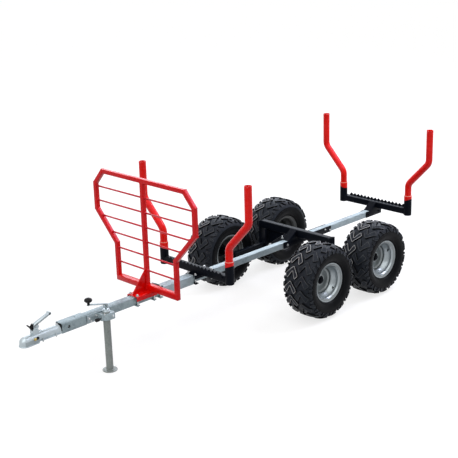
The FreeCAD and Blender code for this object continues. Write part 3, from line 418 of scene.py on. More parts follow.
def backbone():
    piece("main_beam_tube", pipe(BEAM_ENDS, 50, 4, 6), beam_zinc_painted_light, GALVANISED, "main_beam")

    bm = pipe(DRAWBAR_ENDS, 60, 4.5, 7.5)
    cutter = bmesh.new()
    lathe(cutter, (SIDE_HOLE_X, -45, BEAM_Z), Y, [(10.5, 0), (10.5, 90)], 28)
    lathe(cutter, (TOP_HOLE_X, 0, BEAM_Z + 15), Z, [(4.5, 0), (4.5, 30)], 20)
    merge(bm, carve(pipe(MOUTH_ENDS, 70, 5, 8.5), cutter))
    weld_round(bm, "yz", (0, BEAM_Z), MOUTH_ENDS[0] + 1, rounded(62, 62, 8), 2.2)
    piece("drawbar_tube", bm, galvanised, GALVANISED, "drawbar", sharp=28)

    piece("sleeve_tube", pipe(SLEEVE_ENDS, 70, 4.5, 8.5), beam_zinc_painted_light, GALVANISED, "beam_sleeve")

    bm = bmesh.new()
    channel(bm, 672, 718, 52.5, 431, 22, 8, 9)
    piece("bridge_plate", bm, galvanised, GALVANISED, "drawbar_bridge")


def channel(bm, rear, front, half, top, depth, plate, bend):
    """An inverted channel along X: a plate whose two sides are folded down."""
    def folded(side, high, radius, steps):
        turns = [pi / 2 * index / steps for index in range(steps + 1)]
        points = [(side, top - depth)]
        points += [(side - radius + radius * cos(a), high - radius + radius * sin(a)) for a in turns]
        return points + [(-u, v) for u, v in reversed(points)]

    inner = folded(half - plate, top - plate, max(bend - plate, 1.0), 4)
    prism(bm, folded(half, top, bend, 5)[::-1] + inner, "yz", rear, front, 0.9, segments=1)


# ---- headboard
BOARD_X, BOARD_BAR = 773, 30
FOOT_Z, STEP_Z = 430, 470
BOARD = [(315, FOOT_Z), (315, 700), (512, 912), (512, 1108), (417, 1214)]
RODS_Z = [STEP_Z + 714 / 7 * index for index in range(1, 7)]


def board_half(height, inset):
    """Half the headboard's width at a height, set in from its outline."""
    for (low_y, low_z), (high_y, high_z) in zip(BOARD, BOARD[1:]):
        if low_z <= height <= high_z:
            slope = hypot(high_y - low_y, high_z - low_z) / (high_z - low_z)
            return low_y + (high_y - low_y) * (height - low_z) / (high_z - low_z) - inset * slope


def headboard():
    loop = [Vector((0, y, z)) for y, z in BOARD] + [Vector((0, -y, z)) for y, z in reversed(BOARD)]
    loop[0].z = loop[-1].z = STEP_Z - 2
    section = rounded(BOARD_BAR, BOARD_BAR, 4)
    normals = [X.cross(end - start).normalized() for start, end in zip(loop, loop[1:])]
    corners = [(at, (before + after) / (1 + before.dot(after)))
               for at, before, after in zip(loop, normals[:1] + normals, normals + normals[-1:])]

    def ring(corner, scale=1.0):
        at, mitre = corner
        return [Vector((BOARD_X + u * scale, 0, 0)) + at + mitre * (v * scale + BOARD_BAR / 2) for u, v in section]

    bm = bmesh.new()
    skin(bm, [ring(corner) for corner in corners])
    for corner in corners[1:-1]:
        weld(bm, ring(corner, 1.012), 1.3, closed=True)
    prism(bm, [(788, -315), (788, 315), (758, 315), (743, 287), (743, -287), (758, -315)], "xy", FOOT_Z, STEP_Z, 5)
    for side in (-1, 1):
        weld_round(bm, "xy", (BOARD_X, side * 300), STEP_Z + 0.3, rounded(30, 30, 4, 2), 1.8)
    piece("headboard_ring", bm, red, RED, "headboard_frame")

    bm = bmesh.new()
    tube(bm, (BOARD_X, 0, 469), (BOARD_X, 0, 1185), rounded(30, 30, 4), rounded(25, 25, 2))
    for height in (STEP_Z + 0.3, 1183.5):
        weld_round(bm, "xy", (BOARD_X, 0), height, rounded(31, 31, 4, 2), 1.8)
    piece("headboard_mast", bm, red, RED, "headboard_post")

    bm = bmesh.new()
    for height in RODS_Z:
        reach = board_half(height, BOARD_BAR)
        leaning = 700 < height < 912
        for side in (-1, 1):
            tube(bm, (BOARD_X, side * 14, height), (BOARD_X, side * (reach + 3), height), circle(6, 16))
            for at, out in ((14, 1), (reach - 4 if leaning else reach + 1, -1)):
                lathe(bm, (BOARD_X, side * at, height), Y * side * out,
                      [(9.6, 0), (9.2, 1.6), (7.6, 3.4), (6.0, 4.6)], 16)
    piece("headboard_bars", bm, rod_red_painted_sheen, RED, "headboard_rods", sharp=50)

    bm = bmesh.new()
    prism(bm, [(787.5, 430), (907, 429), (907, 443), (796, 577), (787.5, 577)], "xz", -4, 4, 1.2)
    for y in (-5, 5):
        weld(bm, [(790, y, 430.6), (905, y, 430.6)], 2.6)
        weld(bm, [(789.5, y, 436), (789.5, y, 572)], 2.6)
    piece("headboard_brace", bm, red, RED, "headboard_gusset", sharp=40)

    bm = bmesh.new()
    channel(bm, 735, 915, 52, 429, 35, 6, 9)
    for x in (742, 789):
        weld(bm, [(x, -44, 430.2), (x, 44, 430.2)], 2.4)
    piece("headboard_channel", bm, red, RED, "headboard_saddle", sharp=40)


def clamp_bolts():
    """The black bars under beam and drawbar, and the bolts that pull them up against what lies on top."""
    bars, bolts = bmesh.new(), bmesh.new()
    for station, top, under, across in ((695, 441, 363, 37), (752, 429, 363, 38), (900, 429, 363, 38),
                                        (201, 426, 368, 37), (360, 426, 368, 37)):
        look, reach, thick = (0, 52, 8) if station < 400 else (1, 46, 5)
        if station == 695:
            reach = 52
            block(bars, (676, 712), (-50, 46), (431, 441), 1.6)
        block(bars, (station - 14, station + 14), (-reach, reach), (under - thick, under), 1.2, look)
        for side in (-1, 1):
            lathe(bolts, (station, side * across, under - 1), Z, [(5, 0), (5, top - under + 1)], 14)
            if station != 752:
                hexagon(bolts, (station, side * across, top), Z, 16, 7, turn=0.2 * side, thread=5)
            hexagon(bolts, (station, side * across, under - thick), -Z, 13, 4.4, turn=0.35, thread=2.5)
    piece("under_bars", bars, [black, galvanised], BLACK, "clamp_bars")
    piece("clamp_bolt_set", bolts, bolt_zinc, GALVANISED)


# ---- bolsters, saddles and stakes
BOLSTERS = (("front", 315, 1), ("rear", -1775, -1))
SOCKET_Y, SLANT = 335, tan(radians(20))
SOCKET, STAKE, BOLSTER_Z = 31.5, 27.0, 451


def socket_rings(station, side, profile):
    """Rings (radius, height, slanted) round a socket's axis; a slanted one is lower on the trailer's inside."""
    return [[(station + u, side * SOCKET_Y + v, height + side * v * SLANT * slanted) for u, v in circle(radius, 32)]
            for radius, height, slanted in profile]


def bolsters():
    for end, station, face in BOLSTERS:
        bm = bmesh.new()
        tube(bm, (station, -314, BOLSTER_Z), (station, 314, BOLSTER_Z), rounded(50, 50, 6))
        for side in (-1, 1):
            skin(bm, socket_rings(station, side, (
                (SOCKET - 1.9, 418, 0), (SOCKET, 420, 0), (SOCKET, 546, 1), (SOCKET - 0.8, 547, 1),
                (STAKE + 0.7, 547, 1), (STAKE + 0.3, 545.8, 1), (STAKE + 0.3, 442, 0))))
            weld(bm, [(station + u * 1.01, side * (SOCKET_Y - 0.4 - sqrt(SOCKET ** 2 - u * u)), BOLSTER_Z + v * 1.01)
                      for u, v in rounded(50, 50, 6, 3)], 2.4, closed=True)
        piece(f"{end}_bolster_bar", bm, black, BLACK, f"{end}_bolster")

        bm = bmesh.new()
        saw = [(index * 18 - 288, 480 + (index % 2) * 16) for index in range(33)]
        prism(bm, saw + [(288, 456), (-288, 456)], "yz", *sorted(station + face * u for u in (25, 31)), 0.7, 0, 1)
        for middle in range(-252, 253, 72):
            weld(bm, [(station + face * 30, middle - 14, 455), (station + face * 30, middle + 14, 455)], 1.9)
        piece(f"{end}_bolster_saw", bm, black, BLACK, f"{end}_bolster_teeth", sharp=25)

    bm = bmesh.new()
    channel(bm, 186, 375, 52, 426, 28, 6, 9)
    for x in (289, 341):
        weld(bm, [(x, -40, 427), (x, 40, 427)], 2.4)
    piece("front_bolster_channel", bm, black, BLACK, "front_bolster_saddle", sharp=40)

    for node, name in (("rear_bolster_saddle", "rear_bolster_shoe"), ("axle_saddle", "axle_shoe")):
        piece(name, traced(node, 1.6), black, BLACK, node, sharp=30)


def stake_path(side, steps=9):
    """The stake's bent centre line, from its foot up, as (across, height) on one side."""
    out, bend, low_bend_z, high_bend_z = 194, 75, 681, 886
    lean = atan2(out, high_bend_z - low_bend_z)
    run = bend * tan(lean / 2)
    turns = [lean * index / steps for index in range(steps + 1)]
    points = [(0, 442), (0, 560)]
    points += [(bend * (1 - cos(a)), low_bend_z - run + bend * sin(a)) for a in turns]
    points += [(out - bend * (1 - cos(a)), high_bend_z + run - bend * sin(a)) for a in reversed(turns)]
    points.append((out, 1158))
    return [(side * (SOCKET_Y + across), height) for across, height in points]


def stakes():
    for end, station, _ in BOLSTERS:
        for side, word in BOTH_SIDES:
            bm = bmesh.new()
            path = [Vector((station, y, z)) for y, z in stake_path(side)]
            outside = path[:-1] + [path[-1] - Z * 1.2, path[-1]]
            sizes = [STAKE] * (len(outside) - 1) + [STAKE - 0.8]
            rings = []
            for line, radii, way_up in ((outside, sizes, 1), (path[::-1], [STAKE - 3.2] * len(path), -1)):
                for index, at in enumerate(line):
                    before, after = beside(line, index)
                    across = ((after - before).normalized() * way_up).cross(X).normalized()
                    rings.append([at + X * u + across * v for u, v in circle(radii[index], 32)])
            skin(bm, rings, closed=True)
            skin(bm, socket_rings(station, side, (
                (STAKE - 0.5, 547.3, 1), (SOCKET - 0.5, 547.3, 1), (SOCKET, 548.2, 1), (SOCKET, 580, 0),
                (SOCKET - 0.9, 582.4, 0), (STAKE - 0.5, 583, 0))), closed=True)
            # The collar's top bead takes look 1, the light pink paint: a painted highlight.
            weld_round(bm, "xy", (station, side * SOCKET_Y), 584, circle(STAKE + 1.6, 30), 2.5, 1, 5)
            stake = f"{end}_{word}_stake"
            piece(f"{end}_{word}_post", bm, [stake_red, collar_painted_highlight], RED, stake, body=stake)


# ---- cross-beam and bogie arms
AXLE_X, WHEEL_Z, CROSS_Z = -760, 279.5, 456
ARM_Y, WHEEL_Y, HALF_BASE = 325, 505, 327.5
WHEELS_X = (("front", AXLE_X + HALF_BASE), ("rear", AXLE_X - HALF_BASE))


def leg_outline(top, half=35):
    """A leg plate with a round lower end, drawn as (x, z)."""
    arch = [(AXLE_X + u, WHEEL_Z - v) for u, v in circle(half, 32)[:17]]
    return [(AXLE_X + half, top), *arch, (AXLE_X - half, top)]


def running_gear():
    bm = bmesh.new()
    tube(bm, (AXLE_X, -354, CROSS_Z), (AXLE_X, 354, CROSS_Z), rounded(50, 60, 6.5))
    plates(bm, leg_outline(486), 353, 363, 1.6)
    plates(bm, leg_outline(426), 287, 297, 1.6)
    for side in (-1, 1):
        web = [(side * 100, 427), (side * 288, 427), (side * 288, 309.5), (side * 267, 309.5)]
        prism(bm, web, "yz", AXLE_X - 5, AXLE_X + 5, 1.4)
        for x in (AXLE_X - 6, AXLE_X + 6):
            weld(bm, [(x, side * 102, 425.5), (x, side * 284, 425.5)], 2.6)
            weld(bm, [(x, side * 286, 312), (x, side * 286, 422)], 2.4)
        weld_round(bm, "xz", (AXLE_X, CROSS_Z), side * 352.4, rounded(51, 61, 6.5, 2), 2.6)
    piece("cross_beam", bm, black, BLACK, "axle_beam")

    bm = bmesh.new()
    for side in (-1, 1):
        lathe(bm, (AXLE_X, side * 275, WHEEL_Z), Y * side,
              [(21, 0), (23, 1.5), (23, 7), (22, 8), (15, 8), (15, 86.5), (13.5, 88)], 32)
        lathe(bm, (AXLE_X, side * 269, WHEEL_Z), Y * side, [(3.2, 0), (3.2, 3), (5, 3.5), (5, 6.5)], 12)
    piece("bogie_pivot_pins", bm, bolt_zinc, BLACK, "bogie_pins")

    for side, word in BOTH_SIDES:
        bm = bmesh.new()
        tube(bm, *((AXLE_X + u, side * ARM_Y, WHEEL_Z) for u in (-364.5, 364.5)), rounded(40, 60, 6))
        lathe(bm, (AXLE_X, side * 298, WHEEL_Z), Y * side, [(29.5, 0), (31, 1.5), (31, 52.5), (29.5, 54)], 40)
        for face in (304.4, 345.6):
            weld_round(bm, "xz", (AXLE_X, WHEEL_Z), side * face, circle(31.5, 40), 2.4, step=6)
        for _, x in WHEELS_X:
            lathe(bm, (x, side * ARM_Y, WHEEL_Z), Y * side,
                  [(29, 19), (29, 32), (27, 34), (15, 34), (15, 203), (13, 213), (11.5, 215.5)], 28)
            weld_round(bm, "xz", (x, WHEEL_Z), side * 345.6, circle(30.2, 30), 2.3, step=6)
            hexagon(bm, (x, side * 527.4, WHEEL_Z), Y * side, 36, 8.6, turn=0.3)
        piece(f"{word}_bogie_beam", bm, black, BLACK, f"{word}_bogie_arm", body=f"{word}_bogie")


# ---- wheels
CARCASS = [(0, 266.5), (40, 266), (70, 264.2), (92, 259.5), (108, 251), (119, 239), (126, 224), (129.5, 207),
           (128.5, 190), (123, 173), (114.5, 160), (106.5, 152), (101.5, 147.5), (99, 144.8), (97.6, 141)]
LUG_HEIGHT = [(0, 12.6), (60, 13), (92, 12.2), (112, 10.5), (128, 8), (142, 5), (156, 3)]
LUGS, TREAD_RADIUS, SIDEWALL_RADIUS = 16, 272, 226


def smooth(points, steps):
    """A curve through the points, by Catmull and Rom's rule."""
    made, padded = [], points[:1] + points + points[-1:]
    for near in zip(padded, padded[1:], padded[2:], padded[3:]):
        for t in (step / steps for step in range(steps)):
            made.append(tuple(0.5 * (2 * b + (c - a) * t + (2 * a - 5 * b + 4 * c - d) * t * t
                                     + (3 * b - a - 3 * c + d) * t ** 3) for a, b, c, d in zip(*near)))
    return made + [points[-1]]


HALF_CURVE = smooth(CARCASS, 3)
LENGTHS = [0.0, *accumulate(dist(*pair) for pair in zip(HALF_CURVE, HALF_CURVE[1:]))]


def between(table, at):
    """The table's second value at this first one."""
    for (low, a), (high, b) in zip(table, table[1:]):
        if at <= high:
            return a + (b - a) * max(at - low, 0) / (high - low)
    return table[-1][1]


def on_carcass(across, lift):
    """The place (across, radius) over the tyre's section, a distance round it and a share of the lug's height."""
    side, run = (1 if across >= 0 else -1), abs(across)
    index = max(i for i, length in enumerate(LENGTHS[:-1]) if length <= run)
    (w0, r0), (w1, r1) = HALF_CURVE[index:index + 2]
    size = LENGTHS[index + 1] - LENGTHS[index]
    along, out = (run - LENGTHS[index]) / size, between(LUG_HEIGHT, run) * lift / size
    return side * (w0 + (w1 - w0) * along - (r1 - r0) * out), r0 + (r1 - r0) * along + (w1 - w0) * out


def shrunk(points, amount):
    """The outline moved in by an amount, or out if it is negative."""
    area = sum(a[0] * b[1] - b[0] * a[1] for a, b in zip(points, points[1:] + points[:1]))
    sign = 1 if area > 0 else -1
    made = []
    for index, at in enumerate(points):
        before, after = beside(points, index, closed=True)
        (a, b), (c, d) = (((start[1] - end[1]) / dist(start, end) * sign,
                           (end[0] - start[0]) / dist(start, end) * sign)
                          for start, end in ((before, at), (at, after)))
        scale = 1 + a * c + b * d
        made.append((at[0] + (a + c) / scale * amount, at[1] + (b + d) / scale * amount))
    return made


def lug_pattern(points, edge):
    """One lug drawn flat as (across, along, share of height), cut fine enough to follow the tyre."""
    other = bmesh.new()
    foot, outer, rim, top = ([(u, v, share) for u, v in shrunk(points, amount)] for amount, share in (
        (-2.6, -0.2), (0, 1), (edge, 1), (edge + 0.8, 0.9)))
    # Look 1, the ring round each lug's top, is lighter: a painted highlight. Look 3, the lug's walls, is the darker
    # rubber copy: painted shade.
    for rings, look in (((foot, outer), 3), ((outer, rim), 1), ((rim, top), 0)):
        skin(other, rings, caps=False, look=look)
    other.faces.new([other.verts.new(p) for p in top])
    bmesh.ops.remove_doubles(other, verts=other.verts, dist=0.001)
    for axis, low, high in ((X, -10, 150), (Y, -84, 60)):
        for at in range(low, high, 12):
            bmesh.ops.bisect_plane(other, geom=other.verts[:] + other.edges[:] + other.faces[:],
                                   plane_co=axis * at, plane_no=axis, dist=0.01)
    other.verts.index_update()
    pattern = ([tuple(v.co) for v in other.verts],
               [([v.index for v in f.verts], f.material_index) for f in other.faces])
    other.free()
    return pattern


CHEVRON = lug_pattern([(43, 45), (53, 45), (99, -6), (103, -18), (82, -42), (76, -40), (50, 8), (44, 8), (18, -40),
                       (11, -42), (-7, -20), (-3, -8)], 4.2)
SHOULDER = lug_pattern([(100, 34), (121, 22), (134, 2), (128, -16), (112, 2), (97, 14)], 2.4)
BLOCK = lug_pattern([(108, -44), (132, -40), (134, -54), (112, -60)], 2.2)


def from_axle(face, x):
    """How far a face's middle lies from a wheel's axis."""
    spot = face.calc_center_median()
    return hypot(spot.x - x, spot.z - WHEEL_Z)


def tyre(stem, x, y, flip, start, shift):
    """A tyre: flip is the way its lugs point, start their turn, shift their place across it."""
    bm = bmesh.new()
    section = [(-w, r) for w, r in reversed(HALF_CURVE[1:])] + HALF_CURVE
    skin(bm, [[(x + r * u, y + w, WHEEL_Z + r * v) for w, r in section] for u, v in circle(1, 144)],
         closed=True, around=False)
    for side in (-1, 1):
        for radius, size in ((214, 1.5), (183, 1.0), (160, 2.0)):
            across = next(w for w, r in HALF_CURVE[20:] if r <= radius)
            profile = [(radius + u * 2, across + v - 0.3) for u, v in circle(size, 12)[:7]]
            lathe(bm, (x, y, WHEEL_Z), Y * side, profile + [(radius, across - 3)], 96, closed=True)
    for side, index, pattern in product((-1, 1), range(LUGS), (CHEVRON, SHOULDER, BLOCK)):
        phase = start + 2 * pi * (index + (0.5 if side > 0 else 0)) / LUGS
        made = []
        for u, v, share in pattern[0]:
            w, r = on_carcass(side * u + shift, share)
            a = phase + flip * v / TREAD_RADIUS
            made.append(bm.verts.new((x + r * cos(a), y + w, WHEEL_Z + r * sin(a))))
        for corners, look in pattern[1]:
            face = bm.faces.new([made[k] for k in corners])
            # The near side's chevrons keep the lighter ring; the rest take the fainter one. Both are painted
            # highlights.
            face.material_index = 2 if look == 1 and (side > 0 or pattern is not CHEVRON) else look
    # Faces inside the sidewall radius that still hold the tread rubber take the darker copy: painted shade.
    for face in bm.faces:
        if from_axle(face, x) < SIDEWALL_RADIUS and not face.material_index:
            face.material_index = 3
    piece(f"{stem}_tread", bm, [rubber, rubber_edge_painted_highlight, rubber_faint_painted_highlight, sidewall_painted_shade], RUBBER, f"{stem}_tyre",
          body=f"{stem}_wheel", sharp=38)


RIM_SIDE = [(143.6, 98.2), (146.4, 99.2), (147.6, 101.4), (146.8, 103.6), (144.2, 104.6), (141, 103.8),
            (137.6, 100.6), (132, 98), (127, 96.4), (124.8, 94), (124, 90), (121, 87.6), (118.8, 84),
            (120.4, 80.4), (122, 78), (121.6, 74), (116, 62), (109, 50), (103, 42), (98.4, 36),
            (96.6, 31)]


def rim(stem, x, y, side, valve_turn):
    """A deep-dished rim in two steps, with its disc, the hub and the valve."""
    bm, middle, body = bmesh.new(), (x, y, WHEEL_Z), f"{stem}_wheel"
    inner = RIM_SIDE + [(r, -w) for r, w in reversed(RIM_SIDE)]
    outer = [(140, -98), (129, -93), (126, -78), (120, -62), (102.5, -36), (101, -28), (101, 28), (102.5, 36),
             (120, 62), (126, 78), (129, 93), (140, 98)]
    lathe(bm, middle, Y * side, inner + outer, 96, closed=True)
    disc = [(96.8, 26), (94.5, 19), (90, 14.6), (80, 13.4), (62, 14.2), (50, 16.6), (41, 20), (35, 21.4), (31, 20.4),
            (30, 18), (30, 9), (42, 9.6), (58, 10), (88, 10), (97.4, 10)]
    # The disc and its weld take the darker rim copy, look 1: painted shade.
    lathe(bm, middle, Y * side, disc, 96, closed=True, look=1)
    weld_round(bm, "xz", (x, WHEEL_Z), y + side * 9, circle(30.5, 36), 2.0, 1, 5)
    inside = 136 if x > AXLE_X else 150
    for face in bm.faces:
        radius = from_axle(face, x)
        # Faces on the rim's inward side, inside the given radius, take the near-black copy: painted shade.
        if (face.calc_center_median().y - y) * side < 11 and radius < inside:
            face.material_index = 2
        # The groove band from radius 127 to 142 takes the darker copy too: painted shade.
        elif 127 < radius < 142:
            face.material_index = 1
    piece(f"{stem}_rim_dish", bm, [rim_steel, rim_disc_painted_shade, rim_inner_painted_shade], "rim_steel", f"{stem}_rim", body=body, sharp=45)

    bm = bmesh.new()
    lathe(bm, middle, Y * side, [(15.1, -74), (28, -74), (29.5, -72.5), (29.5, 3), (51, 3), (52, 4), (52, 9.4),
                                 (51, 10), (29.5, 10), (29.5, 20.5), (28, 22), (15.1, 22)], 40, closed=True)
    piece(f"{stem}_hub_dish", bm, black, BLACK, f"{stem}_hub", body=body)

    bm = bmesh.new()
    a = radians(valve_turn)
    out = Vector((cos(a), 0, sin(a)))
    foot = Vector((x, y + side * 62, WHEEL_Z)) + out * 116
    lean = (Y * side * 0.35 - out * 0.94).normalized()
    lathe(bm, foot - lean * 3, lean, [(7.6, 0), (7.6, 3.5), (5.4, 6), (4.2, 12), (4.2, 17), (3.4, 18), (3.4, 22),
                                      (2.6, 23)], 16)
    piece(f"{stem}_valve_dish", bm, plastic, RUBBER, body=body)


def wheels():
    turns = {"left_front": (1, 34.6, 220), "left_rear": (-1, 38, 160), "right_front": (-1, 52, 70),
             "right_rear": (-1, 47, -110)}
    for side, word in BOTH_SIDES:
        for end, x in WHEELS_X:
            stem = f"{word}_{end}"
            flip, start, valve_turn = turns[stem]
            tyre(stem, x, side * WHEEL_Y, flip, radians(start) - flip * 45 / TREAD_RADIUS, side * 13)
            rim(stem, x, side * WHEEL_Y, side, valve_turn)


# ---- jack
JACK_X, JACK_Y = 1195, 68
CRANK_TURN, CRANK_REACH = -radians(41), 111


def jack():
    bm = bmesh.new()
    axis = (JACK_X, JACK_Y, 0)
    for look, profile in (
            (0, [(20, 14), (23.4, 14), (24, 14.8), (24, 427.5), (22.6, 430), (20, 430)]),
            (1, [(21.4, 428.5), (21.4, 436), (20, 438), (7.4, 438), (7.4, 428.5)]),
            (1, [(24.1, 421), (25.4, 422), (25.4, 429), (24.4, 430.4), (21, 430.6), (21, 421)])):
        lathe(bm, axis, Z, profile, 40, closed=True, look=look)
    piece("jack_sleeve", bm, [jack_zinc, bright], JACK_ZINC, "jack_tube", body="jack")

    bm, other = bmesh.new(), bmesh.new()
    lathe(bm, axis, Z, [(7, 437), (7, 471)], 24)
    turn = Matrix.Translation(axis) @ Matrix.Rotation(CRANK_TURN, 4, "Z")
    strip = [(-14, 446), (-14, 470.5), (-11, 473.6), (111, 473.8), (118, 473.2), (122, 471), (121, 468.2),
             (117, 469.8), (111, 470.4), (14, 470.2), (14, 446), (11, 446), (11, 468), (9, 470), (-9, 470),
             (-11, 468), (-11, 446)]
    prism(other, strip, "xz", -11, 11, 0.6, 0, 1)
    # The strip's sides take the dark zinc copy: painted shade.
    for face in other.faces:
        if abs(face.calc_center_median().y) > 10.6:
            face.material_index = 1
    for side in (-1, 1):
        hexagon(other, (0, side * 11, 454), Y * side, 10, 4)
    lathe(other, (CRANK_REACH, 0, 468), -Z, [(5, 0), (6.4, 1), (6.4, 3), (5, 4)], 16)
    merge(bm, other, turn)
    piece("crank_arm", bm, [galvanised, lever_side_painted_shade], JACK_ZINC, "jack_crank", body="jack")

    bm = bmesh.new()
    lathe(bm, turn @ Vector((CRANK_REACH, 0, 474)), Z, [
        (8.6, 0.2), (9.6, 1.2), (9.0, 7), (9.4, 11), (13, 15), (20, 18.4), (25.2, 22.6), (27, 28), (26.4, 33.4),
        (23.6, 38), (18.4, 42), (11.6, 45), (5, 46.6), (1, 46.8)], 36)
    piece("crank_grip", bm, plastic, PLASTIC, "crank_knob", body="jack", sharp=60)

    bm = bmesh.new()
    lathe(bm, axis, Z, [(47, 0), (49.4, 1.2), (50, 3), (49.6, 6), (47.6, 7.8), (44, 8), (24, 8), (22.6, 9.5),
                        (21, 12), (19.7, 13.2), (19.7, 356.5), (18.5, 358)], 48)
    piece("jack_foot", bm, jack_zinc, JACK_ZINC, "jack_leg", body="jack_foot_leg")

    bm = traced("jack_clamp", 2.2, 3)
    # The bracket's front faces, beyond x 1243, take the darker pressed copy: painted shade.
    for face in bm.faces:
        if face.calc_center_median().x > 1243:
            face.material_index = 1
    piece("jack_bracket", bm, [beam_zinc_painted_light, pressed_side_painted_shade], JACK_ZINC, "jack_clamp")

    bm = bmesh.new()
    lathe(bm, (1240, JACK_Y, 381.3), X, [(5, 0), (5, 12), (8, 12.5), (10, 15), (12, 20), (12, 40), (10.4, 44),
                                         (6, 45.5), (2, 45.8)], 10)
    piece("jack_clamp_grip", bm, plastic, PLASTIC, "jack_clamp_handle", sharp=50)

    bm = bmesh.new()
    for x, z in ((1255, 404), (1236, 392), (1315, 399), (1300, 378)):
        hexagon(bm, (x, 37.6, z), Y, 13, 6, turn=0.13 * (x % 7), thread=3)
    hexagon(bm, (1168, 101.5, 389), Y, 13, 6, turn=0.2)
    lathe(bm, (1221, 84, 404), Z, [(5, 0), (5, 9), (3.4, 11), (3.4, 14)], 16)
    piece("jack_bolts", bm, bolt_zinc, JACK_ZINC)


# ---- coupling
BALL_X, BALL_Z, CUP, BORE = 1788.5, 380, 35.2, 25.3
HEAD_X, LEVER_X, LEVER_Z = 1690, 1706, 450


def head_ring(x, thin=0.0, foot=None, steps=12):
    """The coupling's outline at a station, from foot to foot; thin is set off its sides and top."""
    if x <= HEAD_X:
        half, low, shoulder, top = 29.5, 366, 387.5, 417
    elif x < BALL_X:
        t = (x - HEAD_X) / (BALL_X - HEAD_X)
        ease = t * t * (3 - 2 * t)
        half, shoulder, top = 29.5 + (CUP - 29.5) * ease, 387.5 - 7.5 * ease, 417 + (BALL_Z + CUP - 417) * ease
        low = 366 - 11 * min(1, (x - HEAD_X) / 24)
    else:
        half = sqrt(max(CUP ** 2 - (x - BALL_X) ** 2, 9))
        low, shoulder, top = 355, BALL_Z, BALL_Z + half
    half, rise, low = half - thin, top - thin - shoulder, low if foot is None else foot
    waist = (low + shoulder) / 2
    arch = [(x, u * half, shoulder + v * rise) for u, v in circle(1, 2 * steps)[:steps + 1]]
    return [(x, half, low), (x, half, waist), *arch, (x, -half, waist), (x, -half, low)]


